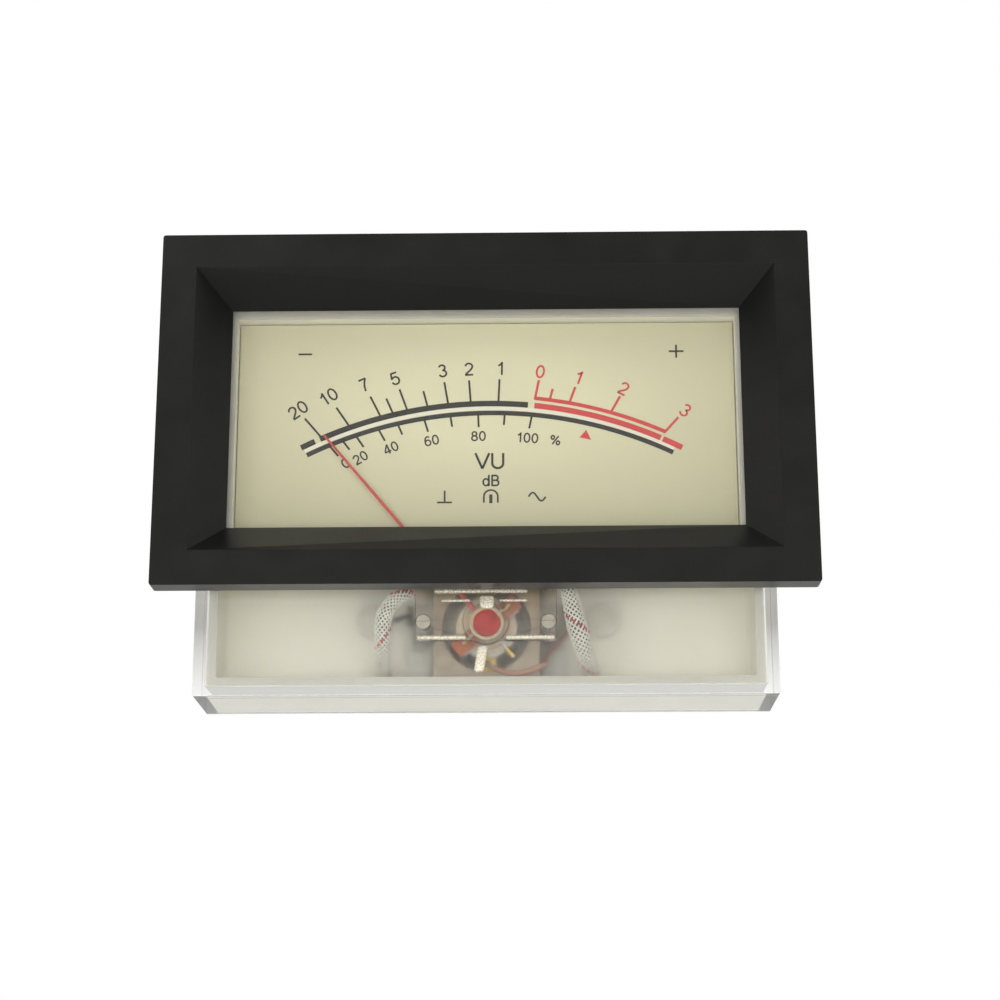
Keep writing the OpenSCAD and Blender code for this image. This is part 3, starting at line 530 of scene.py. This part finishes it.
softenEdges(tray["edge"], "base_tray")
trayWhite = makeTrayMaterial()
dress(trayWhite, "base_tray")
print("frame, cover and tray dressed")

# Dial
dial = {
    # painted light and shade: the cream is paler in the middle and darker towards the edge
    "middle": (218, 213, 180),
    "edge": (172, 167, 137),
    "paintedFalloff": {"Location": (0, 0, -0.14), "Scale": (12, 0, 29)},    # painted light and shade: paler in the middle, darker towards the edge, over this room
    "paintedFalloffRange": (0.22, 1.0),
    "ink": (28, 25, 15),
    "redInk": (200, 60, 58),
    "lightLine": (226, 222, 204),
    "proud": 0.02,                   # print stands this far off the plate
    "layer": 0.008,                  # pale line under the bands, ticks over them
    "shift": (0.25, -0.25),          # all of the print, across and up
    "figureShift": (-0.32, -0.1),    # the scale's figures besides
    "upperBand": {"middle": (0.3, -72.65), "radius": 77.27, "width": 1.1},
    "lowerBand": {"middle": (0.51, -74.25), "radius": 77.0, "width": 0.92},
    "redLine": {"middle": (0.3, -72.65), "radius": 78.72, "width": 0.76},
    "lightBand": {"middle": (0.4, -73.42), "radius": 77.1, "width": 0.66},
    "tickWidth": 0.38,
    "redTickWidth": 0.46,
    "numeral": 2.6,                  # heights of the figures
    "smallNumeral": 1.95,
    "stroke": 0.36,
    "redStroke": 0.38,
    "smallStroke": 0.3,
}
# Stretches of the bands: band, first and last angle about the pointer's axis
lightRuns = [("lightBand", -45.4, 45.8)]
inkRuns = [("upperBand", -45.4, -42.2), ("upperBand", -41.0, 10.1), ("lowerBand", -45.7, 46.3)]
redRuns = [("redLine", 11.6, 41.8), ("upperBand", 11.7, 42.0), ("upperBand", 42.5, 46.9)]
# value, angle of its tick about the pointer's axis, length of the tick, middle of the number, turn
levelMarks = [("20", -40.5, 4.6, (-35.4, 3.7), -36), ("10", -33.9, 4.2, (-29.7, 6.3), -33),
              ("7", -26.4, 4.2, (-23.0, 8.6), -24), ("", -23.4, 3.0, None, 0),
              ("5", -19.9, 4.2, (-17.2, 9.8), -19), ("", -14.9, 3.0, None, 0),
              ("3", -9.8, 4.2, (-8.2, 11.3), -8), ("2", -4.2, 4.2, (-3.2, 11.6), -3),
              ("1", 2.7, 4.3, (2.8, 11.7), 1)]
redMarks = [("0", 11.5, 3.3, (10.3, 11.0), 10), ("", 15.0, 1.9, None, 0),
            ("1", 19.7, 3.0, (17.6, 9.8), 20), ("2", 29.4, 3.3, (26.0, 7.5), 28),
            ("3", 41.8, 3.4, (37.5, 3.1), 38)]
shareMarks = [("0", -40.4, (-26.3, -6.9), -36), ("", -37.2, None, 0),
              ("20", -33.9, (-23.5, -5.8), -32), ("40", -28.3, (-17.8, -3.9), -24),
              ("", -23.4, None, 0), ("60", -16.6, (-10.2, -2.5), -11), ("", -9.8, None, 0),
              ("80", -2.5, (-1.4, -1.7), -1), ("", 4.5, None, 0), ("100", 11.6, (7.8, -2.1), 4)]


def bow(x, z, rx, rz, start, end, steps=16):
    return [(x + rx * math.cos(a), z + rz * math.sin(a))
            for a in (math.radians(start + (end - start) * k / steps) for k in range(steps + 1))]


# Words: text, height, x, z, turn, stroke
dialWords = [("%", 1.8, 12.7, -2.7, 12, 0.3), ("VU", 3.1, 0.5, -6.7, 0, 0.44),
             ("dB", 2.2, 0.6, -10.5, 0, 0.34)]
# Signs: stroke, points
dialSigns = [
    (0.36, [(-35.9, 14.7), (-33.3, 14.7)]),                          # minus
    (0.36, [(34.3, 14.8), (37.1, 14.8)]),                            # plus
    (0.36, [(35.7, 13.5), (35.7, 16.1)]),
    (0.34, [(-8.0, -12.4), (-8.0, -14.7)]),                          # upright use
    (0.34, [(-9.4, -14.7), (-6.6, -14.7)]),
    (0.34, [(1.9, -14.8)] + bow(0.6, -13.6, 1.3, 1.25, 0, 180) + [(-0.7, -14.8)]),
    (0.6, [(0.6, -13.2), (0.6, -14.9)]),                             # coil and magnet
    (0.34, [(7.6 + 3.2 * k / 24, -13.7 + 0.8 * math.sin(2 * math.pi * k / 24))
            for k in range(25)]),                                    # for alternating current
]
redTriangle = [(17.2, -2.2), (19.4, -2.7), (18.5, -0.7)]             # start of the overload

# Plain figures 1 high: the room each takes across, and its strokes
figures = {
    "0": (0.76, [bow(0.38, 0.5, 0.26, 0.44, 0, 360, 32)]),
    "1": (0.66, [[(0.42, 0), (0.42, 1)], [(0.42, 0.93), (0.32, 0.8), (0.15, 0.7)]]),
    "2": (0.76, [bow(0.38, 0.7, 0.25, 0.24, 172, -30) + [(0.5, 0.44), (0.3, 0.27), (0.17, 0.15),
                                                         (0.12, 0.06)],
                 [(0.08, 0.06), (0.66, 0.06)]]),
    "3": (0.76, [bow(0.36, 0.735, 0.22, 0.205, 162, -90), bow(0.37, 0.295, 0.26, 0.235, 90, -165)]),
    "4": (0.76, [[(0.5, 0.98), (0.07, 0.3)], [(0.04, 0.26), (0.7, 0.26)], [(0.5, 1), (0.5, 0)]]),
    "5": (0.76, [[(0.2, 0.94), (0.62, 0.94)], [(0.21, 0.98), (0.14, 0.47)],
                 bow(0.375, 0.345, 0.27, 0.285, 148, -165)]),
    "6": (0.76, [bow(0.39, 0.33, 0.25, 0.27, 0, 360, 32), bow(0.41, 0.5, 0.27, 0.44, 190, 48)]),
    "7": (0.76, [[(0.1, 0.94), (0.66, 0.94)],
                 [(0.64, 0.94), (0.48, 0.7), (0.36, 0.4), (0.3, 0)]]),
    "8": (0.76, [bow(0.38, 0.735, 0.21, 0.205, 0, 360, 28),
                 bow(0.38, 0.295, 0.26, 0.235, 0, 360, 32)]),
    "%": (1.2, [bow(0.28, 0.74, 0.16, 0.2, 0, 360, 24), bow(0.92, 0.26, 0.16, 0.2, 0, 360, 24),
                [(0.84, 1), (0.36, 0)]]),
    "V": (0.92, [[(0.04, 1), (0.46, 0.02)], [(0.88, 1), (0.46, 0.02)]]),
    "U": (0.96, [[(0.14, 1), (0.14, 0.36)] + bow(0.47, 0.36, 0.33, 0.31, 180, 360) + [(0.8, 1)]]),
    "d": (0.74, [[(0.6, 1), (0.6, 0)], bow(0.36, 0.35, 0.24, 0.3, 0, 360, 28)]),
    "B": (0.8, [[(0.14, 0), (0.14, 1)],
                [(0.14, 0.94), (0.44, 0.94)] + bow(0.44, 0.73, 0.19, 0.21, 90, -90)
                + [(0.14, 0.52)],
                [(0.44, 0.52)] + bow(0.46, 0.29, 0.23, 0.23, 90, -90) + [(0.14, 0.06)]]),
}


def makeDialMaterial():
    material, tree, shader = newMaterial("dialCream")
    # painted light and shade: the cream falls off from the middle towards the edge
    cream = rampOf(tree, reachOf(tree, **dial["paintedFalloff"]), [dial["middle"], dial["edge"]],
                   *dial["paintedFalloffRange"])
    patches = rangeOf(tree, noiseOf(tree, 0.7), 0.3, 0.7, 0.975, 1.0)
    tree.links.new(scaledOf(tree, cream, patches), shader.inputs["Base Color"])
    shader.inputs["Roughness"].default_value = 0.62
    bumpOf(tree, shader, noiseOf(tree, 0.3), 0.003)
    return material


def onCircle(band, x):
    cx, cz = band["middle"]
    return cz + math.sqrt(band["radius"] ** 2 - (x - cx) ** 2)


# Where the ray from the pointer's axis meets a band, with its reach
def meets(band, angle, beyond=0.0):
    a = math.radians(angle)
    dx, dz = math.sin(a), math.cos(a)
    cx, cz = band["middle"]
    ox, oz = pivotX - cx, pivotZ - cz
    r = band["radius"] + beyond
    b = ox * dx + oz * dz
    return -b + math.sqrt(b * b - (ox * ox + oz * oz - r * r))


def alongRay(angle, reach):
    a = math.radians(angle)
    return pivotX + reach * math.sin(a), pivotZ + reach * math.cos(a)


def ribbon(bm, points, width, y):
    left, right = [], []
    for i, (x, z) in enumerate(points):
        x0, z0 = points[max(i - 1, 0)]
        x1, z1 = points[min(i + 1, len(points) - 1)]
        size = math.hypot(x1 - x0, z1 - z0)
        nx, nz = -(z1 - z0) / size * width / 2, (x1 - x0) / size * width / 2
        left.append(bm.verts.new(((x + nx) * mm, y * mm, (z + nz) * mm)))
        right.append(bm.verts.new(((x - nx) * mm, y * mm, (z - nz) * mm)))
    for i in range(len(points) - 1):
        bm.faces.new((left[i], left[i + 1], right[i + 1], right[i]))


def bandBetween(bm, band, start, end, y, steps=60):
    x0, x1 = (alongRay(a, meets(band, a))[0] for a in (start, end))
    across = (x0 + (x1 - x0) * k / steps for k in range(steps + 1))
    ribbon(bm, [(x, onCircle(band, x)) for x in across], band["width"], y)


def drawRuns(bm, runs, y):
    for band, start, end in runs:
        bandBetween(bm, dial[band], start, end, y)


def writeOn(bm, words, height, x, z, turn, stroke, y):
    c, s = math.cos(math.radians(turn)), math.sin(math.radians(turn))
    start = -sum(figures[word][0] for word in words) / 2
    for word in words:
        for run in figures[word][1]:
            points = []
            for px, pz in run:
                lx, lz = (start + px) * height, (pz - 0.5) * height
                points.append((x + lx * c + lz * s, z - lx * s + lz * c))
            ribbon(bm, points, stroke, y)
        start += figures[word][0]


def shifted(place):
    return tuple(a + b for a, b in zip(place, dial["figureShift"]))


def flatPiece(name, bm, material):
    bmesh.ops.translate(bm, verts=bm.verts, vec=(dial["shift"][0] * mm, 0, dial["shift"][1] * mm))
    for face in bm.faces:
        face.normal_update()
        if face.normal.y > 0:
            face.normal_flip()
    mesh = bpy.data.meshes.new(name)
    bm.to_mesh(mesh)
    bm.free()
    mesh.materials.append(material)
    ob = bpy.data.objects.new(name, mesh)
    scene.collection.objects.link(ob)
    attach(ob, "case")


def makeInk(name, color):
    return surface(name, [color, tuple(c + 8 for c in color)], 0.8, (0.5, 0.65), 0.2, 0.002)


def makeDialPrint():
    y = front("dial_plate") - dial["proud"]
    under, over = y + dial["layer"], y - dial["layer"]
    upper, lower, redLine = dial["upperBand"], dial["lowerBand"], dial["redLine"]

    bm = bmesh.new()
    drawRuns(bm, lightRuns, under)
    flatPiece("lightLine", bm, surface("lightLine", [dial["lightLine"]] * 2, 5, (0.6, 0.7), 1, 0))

    bm = bmesh.new()
    drawRuns(bm, inkRuns, y)
    for words, angle, length, place, turn in levelMarks:
        start = meets(upper, angle)
        end = meets(upper, angle, upper["width"] / 2) + length
        ribbon(bm, [alongRay(angle, start), alongRay(angle, end)], dial["tickWidth"], over)
        if words:
            writeOn(bm, words, dial["numeral"], *shifted(place), turn, dial["stroke"], y)
    for words, angle, place, turn in shareMarks:
        start = meets(lower, angle)
        end = start - lower["width"] / 2 - (2.3 if words else 1.9)
        ribbon(bm, [alongRay(angle, start), alongRay(angle, end)], dial["tickWidth"], over)
        if words:
            writeOn(bm, words, dial["smallNumeral"], *shifted(place), turn, dial["smallStroke"], y)
    for word in dialWords:
        writeOn(bm, *word, y)
    for stroke, points in dialSigns:
        ribbon(bm, points, stroke, y)
    flatPiece("dialPrint", bm, makeInk("dialInk", dial["ink"]))

    bm = bmesh.new()
    drawRuns(bm, redRuns, y)
    for words, angle, length, place, turn in redMarks:
        start = meets(redLine, angle) - 0.3
        end = meets(redLine, angle, redLine["width"] / 2) + length
        ribbon(bm, [alongRay(angle, start), alongRay(angle, end)], dial["redTickWidth"], over)
        if words:
            writeOn(bm, words, dial["numeral"], *shifted(place), turn, dial["redStroke"], y)
    bm.faces.new([bm.verts.new((x * mm, y * mm, z * mm)) for x, z in redTriangle])
    flatPiece("dialRedPrint", bm, makeInk("dialRedInk", dial["redInk"]))


dress(makeDialMaterial(), "dial_plate")
makeDialPrint()
dress(platedSteel, "dial_screws", "stop_pegs")
print("dial printed")

# Pointer
needle = {
    "tones": [(188, 50, 42), (204, 64, 54)],
    "thickness": 0.36,
    # distance from the axis, width, share of the thickness
    "stations": [(1.2, 0.9, 1), (5, 0.9, 1), (9, 0.6, 1), (30, 0.564, 1), (46.3, 0.42, 1),
                 (47.25, 0.378, 1), (47.5, 0.21, 0.5)],
}


def makeNeedle():
    red = surface("pointerRed", needle["tones"], 1.5, (0.28, 0.4), 0.15, 0.002, Coat_Weight=0.3)
    middle = (front("pointer") + back("pointer")) / 2
    a = math.radians(restAngle)
    along, across = Vector((math.sin(a), 0, math.cos(a))), Vector((math.cos(a), 0, -math.sin(a)))
    hub = Vector((pivotX, middle, pivotZ))
    rings = []
    for r, width, share in needle["stations"]:
        deep = needle["thickness"] / 2 * share
        rings.append([hub + along * r + across * (width / 2 * math.cos(t))
                      + Vector((0, deep * math.sin(t), 0)) for t in circle(12)])
    bm = bmesh.new()
    loft(bm, rings)
    ob = addPiece("needle", bm, red, "pointer_movement", 60)
    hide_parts("pointer")


makeNeedle()
dress(plateAlloy, "pointer_hub", "coil_former")
dress(brass, "balance_weights")
dress(platedSteel, "front_pivot", "rear_pivot")
dress(springBronze, "front_hairspring", "rear_hairspring")
print("needle made")

# Coil: turns of fine wire laid side by side across its width
coil = {
    "tones": [(168, 84, 48), (206, 122, 70)],
    "wire": 0.14,
}


def makeCoilMaterial():
    material, tree, shader = newMaterial("coilCopper")
    a = math.radians(restAngle)
    place = tree.nodes.new("ShaderNodeTexCoord")
    dot = tree.nodes.new("ShaderNodeVectorMath")
    dot.operation = "DOT_PRODUCT"
    dot.inputs[1].default_value = (math.sin(a) / (coil["wire"] * mm), 0,
                                   math.cos(a) / (coil["wire"] * mm))
    tree.links.new(place.outputs["Object"], dot.inputs[0])
    wave = mathOf(tree, "PINGPONG", dot.outputs["Value"], 0.5)
    tree.links.new(rampOf(tree, wave, coil["tones"], 0.05, 0.4), shader.inputs["Base Color"])
    bumpOf(tree, shader, wave, 0.05)
    wearOn(tree, shader, 0.6, (0.25, 0.4))
    shader.inputs["Metallic"].default_value = 0.85
    shader.inputs["Coat Weight"].default_value = 0.4
    return material


# Yoke: bronzed iron, with painted light making it paler inside the bore
yoke = {
    "tones": [(152, 138, 120), (170, 156, 137)],
    "bore": 7.6,                         # radius
    "boreLightShare": 1.9,                    # painted light: how much paler it is inside
    "edge": 0.2,
}


def makeYokeMaterial():
    material, tree, shader = newMaterial("yokeIron")
    # painted light: paler inside the bore, where it lies in shade
    reach = reachOf(tree, Location=(0, 0, -pivotZ * mm), Scale=(1, 0, 1))
    share = rangeOf(tree, reach, (yoke["bore"] - 0.1) * mm, (yoke["bore"] + 0.1) * mm,
                    yoke["boreLightShare"], 1.0)
    iron = rampOf(tree, noiseOf(tree, 2.5), yoke["tones"])
    tree.links.new(scaledOf(tree, iron, share), shader.inputs["Base Color"])
    wearOn(tree, shader, 0.8, (0.4, 0.55))
    shader.inputs["Metallic"].default_value = 0.15
    bumpOf(tree, shader, noiseOf(tree, 0.3), 0.01)
    return material


dress(makeCoilMaterial(), "coil_winding")
softenEdges(yoke["edge"], "yoke", "core_magnet")
dress(makeYokeMaterial(), "yoke")
dress(magnetGrey, "core_magnet")
dress(brass, "core_clamps", "rear_spacers", "rear_jewel_screw", "rear_jewel_nut",
      "front_jewel_screw")
dress(platedSteel, "pillars", "yoke_screws", "zero_lever")
dress(screwAlloy, "bridge_screws")
dress(plateMatt, "movement_plate")
dress(plateAlloy, "rear_bridge")
dress(springBronze, "friction_washer")
print("movement dressed")

# Pale lips that close the slots between the movement plate and its housing; the leads pass
# through the room left between the upper and the lower ones
lips = {
    "outer": 15.15,
    "y": (18.35, 18.9),
    "edge": 0.1,
    # bottom, top, inner edge
    "runs": [(-48.3, -41.2, 10.2), (-41.2, -36.4, 13.85), (-32.4, -27.4, 10.2)],
}


def makeLips():
    bm = bmesh.new()
    y0, y1 = lips["y"]
    edge = lips["edge"]
    for side in (-1, 1):
        for z0, z1, inner in lips["runs"]:
            x0, x1 = sorted((side * inner, side * lips["outer"]))
            rings = []
            for z, trim in ((z0, edge), (z0 + edge, 0), (z1 - edge, 0), (z1, edge)):
                rings.append([Vector(v) for v in (
                    (x0 + trim, y0 + edge, z), (x0 + edge + trim, y0, z),
                    (x1 - edge - trim, y0, z), (x1 - trim, y0 + edge, z),
                    (x1 - trim, y1, z), (x0 + trim, y1, z))])
            loft(bm, rings)
    addPiece("housingLips", bm, trayWhite, "case", 50)


makeLips()

# Clear front bridge and its red lacquer, with pale pieces that paint highlights on it: a ring round
# the lacquer, ridges, and strips above and below the lacquer
bridge = {
    "color": (0.95, 0.9, 0.825, 1),
    "ior": 1.49,
    "rough": 0.03,
    "edge": 0.5,
    "lacquerR": 2.45,
    "lacquerAt": (0.15, -38.7),      # the drop sits a little off the axis
    "lacquer": [(156, 18, 9), (178, 31, 20)],
    # painted highlight: the pale ring round the lacquer
    "ring": {"inner": 2.55, "outer": 3.2, "tones": [(168, 146, 118), (184, 163, 134)]},
    # painted highlights, pale strips: middle across and height at both ends, half the width, depth
    # from the boss
    "strips": {
        "lowerStrip": {"x": (-0.6, -1.3), "z": (-43.0, -47.6), "half": 0.95, "deep": (0.5, 1.0)},
        "upperStrip": {"x": (0.2, 0.2), "z": (-33.8, -36.0), "half": 1.3, "deep": (-0.24, 0.04)},
    },
    # painted highlights, pale ridges on its front: start, end, height, radius
    "ridges": [(-8.1, -2.8, -34.5, 0.24), (2.5, 7.6, -34.5, 0.24), (-9.4, 7.6, -32.7, 0.45),
               (-12.5, -3.6, -41.35, 0.42), (3.6, 12.5, -41.35, 0.42)],
    "highlightTones": [(232, 222, 202), (244, 236, 219)],
}
softenEdges(bridge["edge"], "front_bridge")
dress(clearPlastic("bridgeClear", bridge["color"], bridge["ior"], bridge["rough"])[0],
      "front_bridge")
dress(clearPlastic("jewelRuby", tone(206, 30, 66), 1.76, 0.02)[0], "front_jewel", "rear_jewel")


def makeLacquer():
    red = surface("lacquerRed", bridge["lacquer"], 1.2, (0.16, 0.28), 0.8, 0.03,
                  Specular_IOR_Level=0.3)
    y0, y1 = front("sealing_lacquer"), back("sealing_lacquer")
    r = bridge["lacquerR"]
    profile = [(r * 0.9, y1), (r, y1 - 0.06)]
    for k in range(1, 9):
        t = math.pi / 2 * k / 9
        profile.append((r * math.cos(t) ** 0.8, y1 - 0.06 - (y1 - y0 - 0.06) * math.sin(t)))
    bm = bmesh.new()
    lathe(bm, profile, *bridge["lacquerAt"], 40, lambda a: 0.02 * math.sin(3 * a + 1)
          + 0.012 * math.sin(5 * a))
    ob = addPiece("lacquerDrop", bm, red, "case", 60)
    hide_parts("sealing_lacquer")


def makeStrip(name, material, x, z, half, deep):
    y0, y1 = (front("front_bridge") + depth for depth in deep)
    middle, thick = (y0 + y1) / 2, (y1 - y0) / 2
    top, bottom = z
    rings = []
    for height, share in ((top, 0.8), (top - 0.25, 1), (bottom + 0.5, 0.94), (bottom + 0.12, 0.78),
                          (bottom, 0.45)):
        across = x[0] + (x[1] - x[0]) * (height - top) / (bottom - top)
        rings.append([Vector((across + share * half * math.cos(a),
                              middle + share * thick * math.sin(a), height)) for a in circle(16)])
    bm = bmesh.new()
    loft(bm, rings)
    addPiece(name, bm, material, "case", 60)


def makeRing():
    ring = bridge["ring"]
    # painted highlight: a pale ring round the lacquer stands in for the highlight on the boss's
    # edge
    ringHighlightPaint = surface("ringHighlight", ring["tones"], 1.5, (0.2, 0.32), 0.3, 0.004, Coat_Weight=0.4)
    y = front("front_bridge")
    x, z = bridge["lacquerAt"]
    middle, half = (ring["inner"] + ring["outer"]) / 2, (ring["outer"] - ring["inner"]) / 2
    bm = bmesh.new()
    rings = []
    for a in circle(48):
        rings.append([bm.verts.new(((x + (middle + half * math.cos(t)) * math.sin(a)) * mm,
                                    (y + 0.02 - 0.12 * math.sin(t)) * mm,
                                    (z + (middle + half * math.cos(t)) * math.cos(a)) * mm))
                      for t in circle(12)])
    for p, q in zip(rings, rings[1:] + rings[:1]):
        for j in range(12):
            bm.faces.new((p[j], p[(j + 1) % 12], q[(j + 1) % 12], q[j]))
    addPiece("highlightRing", bm, ringHighlightPaint, "case", 60)


def makeRidges(highlightMaterial):
    y = front("front_bridge") + 0.3
    bm = bmesh.new()
    for x0, x1, z, r in bridge["ridges"]:
        rings = []
        for x, share in ((x0, 0.4), (x0 + 0.12, 0.85), (x0 + 0.3, 1),
                         (x1 - 0.3, 1), (x1 - 0.12, 0.85), (x1, 0.4)):
            rings.append([Vector((x, y - share * r * math.sin(a), z + share * r * math.cos(a)))
                          for a in circle(14)])
        loft(bm, rings)
    addPiece("bridgeRidges", bm, highlightMaterial, "case", 60)


makeLacquer()
# painted highlights: pale strips and ridges stand in for highlight lines on the clear bridge
highlightPaint = surface("highlightPaint", bridge["highlightTones"], 1, (0.2, 0.35), 0.3, 0.002,
                      Metallic=0.5)
for name, strip in bridge["strips"].items():
    makeStrip(name, highlightPaint, **strip)
makeRing()
makeRidges(highlightPaint)
print("bridge dressed")

# Lamps
dress(clearPlastic("bulbGlass", (0.97, 0.975, 0.97, 1), 1.3)[0],
      "lamp_bulb_left", "lamp_bulb_right")
dress(capAlloy, "lamp_caps")
softenEdges(smallEdge, "lamp_holders")
dress(holderRubber, "lamp_holders")

# Braided sleeves, routed as in the solids: x, y, z in mm
sleeve = {
    "radius": 1.5,
    "strands": 11,                   # each way round
    "turn": 9.6,                     # length of one turn of a strand
    "half": 0.165,                   # half the width of a strand
    "thick": 0.12,
    "weave": 0.1,                    # how far a strand rises and dips
    "white": [(214, 211, 198), (232, 230, 219)],
    "tracer": [(188, 44, 44), (206, 60, 58)],
    # painted shade: a dark core under the strands stands in for the shade seen between them
    "shadeCore": [(78, 71, 57), (92, 84, 69)],
    # the way round and the numbers of the coloured strands
    "tracerStrands": {"lamp_sleeve_left": (1, (4,)), "lamp_sleeve_right": (-1, (2,))},
    # how much wider it swells, and the part of its length where it does
    "swell": {"lamp_sleeve_left": 0.12, "lamp_sleeve_right": 0.36},
    "swellRange": (0.22, 0.9),
    "routes": {
        "lamp_sleeve_left": [
            (-12, 14.3, -28.5), (-12, 14.2, -29.6), (-12.3, 12.6, -30.9), (-13.3, 9.9, -31.6),
            (-14.9, 7.6, -32.6), (-16.9, 7, -34.4), (-18.4, 6.9, -36.6), (-18.8, 7.4, -39.2),
            (-18.8, 9, -42), (-19, 11.4, -44.4), (-19.1, 13.8, -46), (-19.1, 15.6, -46.5),
            (-19.1, 16.6, -46.5)],
        "lamp_sleeve_right": [
            (12, 14.3, -28.5), (12, 14.2, -29.6), (13.3, 12.6, -30.7), (14.5, 9.9, -31.2),
            (15.0, 7.5, -32.2), (15.6, 6.9, -34.6), (16.1, 6.9, -37.2), (16.8, 7.4, -39.8),
            (17.7, 9, -42.6), (18.5, 11.4, -44.9), (19.1, 13.8, -46.2), (19.1, 15.6, -46.5),
            (19.1, 16.6, -46.5)],
    },
}


def makeSleeve(node, white, tracer, shadeCore):
    stations = stationsOn(sleeve["routes"][node], 0.16)
    length = stations[-1][4]
    plain = sleeve["radius"] - sleeve["weave"] - sleeve["thick"]

    def wallAt(gone):
        start, end = sleeve["swellRange"]
        share = min(max((gone / length - start) / (end - start), 0), 1)
        return plain * (1 + sleeve["swell"][node] * math.sin(math.pi * share) ** 2)

    count, turn = sleeve["strands"], sleeve["turn"]
    tracerWay, tracerStrands = sleeve["tracerStrands"][node]
    strands = {white: bmesh.new(), tracer: bmesh.new()}
    for way in (1, -1):
        for k in range(count):
            isTracer = way == tracerWay and k in tracerStrands
            rings = []
            for point, along, side, across, gone in stations:
                a = way * 2 * math.pi * gone / turn + 2 * math.pi * k / count
                over = way * sleeve["weave"] * math.cos(2 * math.pi * count * gone / turn)
                outward = math.cos(a) * side + math.sin(a) * across
                around = way * (math.cos(a) * across - math.sin(a) * side)
                mid = wallAt(gone)
                slope = 2 * math.pi * mid / turn
                flat = (around - along * slope).normalized()
                heart = point + outward * (mid + over)
                rings.append([heart + flat * (sleeve["half"] * math.cos(t))
                              + outward * (sleeve["thick"] * math.sin(t))
                              for t in circle(6)])
            loft(strands[tracer if isTracer else white], rings)
    braid = addPiece(node.replace("lamp_sleeve", "braid"), strands[white], white, "case",
                     80)
    addPiece(node.replace("lamp_sleeve", "tracer"), strands[tracer], tracer, "case",
             80)
    # painted shade: the dark core under the strands
    bm = bmesh.new()
    tubeAlong(bm, stations[::3], lambda gone: wallAt(gone) - 0.1, 16)
    addPiece(node.replace("lamp_sleeve", "shadeCore"), bm, shadeCore, "case", 60)
    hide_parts(node)


braidWhite = surface("braidWhite", sleeve["white"], 1.0, (0.6, 0.8), 0.08, 0.01,
                     Sheen_Weight=0.2)
braidRed = surface("braidRed", sleeve["tracer"], 1.0, (0.6, 0.8), 0.08, 0.01)
# painted shade: material of the dark core under the strands
braidShadeCore = surface("braidShadeCore", sleeve["shadeCore"], 1.0, (0.7, 0.85), 0.1, 0.01)
for node in sleeve["routes"]:
    makeSleeve(node, braidWhite, braidRed, braidShadeCore)
print("sleeves braided")

# Signal leads and their solder
lead = {
    "radius": 0.45,
    "bare": 0.24,                    # radius of the tinned end
    "bareLength": 0.9,
    "solder": 0.5,                   # radius of a lump
    "routes": {
        "signal_lead_red": [
            (0.5, 10.6, -45.4), (2.2, 10.3, -46.4), (4.6, 10.1, -47.1), (6.6, 10.1, -47),
            (8.6, 10.1, -46.4), (10.3, 10.3, -45.6), (10.9, 11.6, -44.9), (10.9, 13.8, -43.8),
            (11.7, 16.1, -41.8), (14, 17.3, -39.2), (16.2, 17.6, -36.9), (18.05, 17.6, -35.6)],
        "signal_lead_black": [
            (-12.6, 25.7, -35.4), (-13.2, 24.8, -35.2), (-14.2, 23.6, -34.9), (-14.5, 22, -34.6),
            (-14.5, 20, -34.5), (-14.6, 18, -34.6), (-15.4, 16.9, -34.9), (-16.9, 17, -35.4),
            (-18.05, 17.6, -35.6)],
    },
}


def makeLead(node, material):
    stations = stationsOn(lead["routes"][node], 0.3)
    total = stations[-1][4]
    covered = [s for s in stations if lead["bareLength"] <= s[4] <= total - lead["bareLength"]]
    bm = bmesh.new()
    tubeAlong(bm, covered, lead["radius"], 16)
    ob = addPiece(node.replace("signal_lead", "lead"), bm, material, "case", 60)
    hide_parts(node)
    bm = bmesh.new()
    tubeAlong(bm, stations, lead["bare"], 10)
    addPiece(node.replace("signal_lead", "strand"), bm, solderTin, "case", 60)
    for k, station in enumerate((stations[0], stations[-1])):
        bm = bmesh.new()
        bmesh.ops.create_icosphere(bm, subdivisions=3, radius=lead["solder"])
        for v in bm.verts:
            lump = 1 + 0.12 * math.sin(7 * v.co.x + 2) + 0.1 * math.cos(9 * v.co.z)
            v.co = Vector((v.co.x * lump, v.co.y * lump * 0.8, v.co.z * lump))
            v.co = (station[0] + v.co) * mm
        addPiece(node.replace("signal_lead", "solder") + str(k), bm, solderTin, "case",
                 70)


makeLead("signal_lead_red", leadRed)
makeLead("signal_lead_black", leadBlack)
print("leads soldered")

# Terminals and lamp pins
softenEdges(smallEdge, "terminal_nuts", "terminal_washers", "solder_lugs", "terminal_studs",
            "lamp_pins")
dress(brass, "terminal_nuts", "lamp_pins")
dress(nickel, "terminal_studs")
dress(platedSteel, "terminal_washers")
dress(solderTin, "solder_lugs")

setStudio()
print("studio set")

scene.view_settings.view_transform = "Standard"
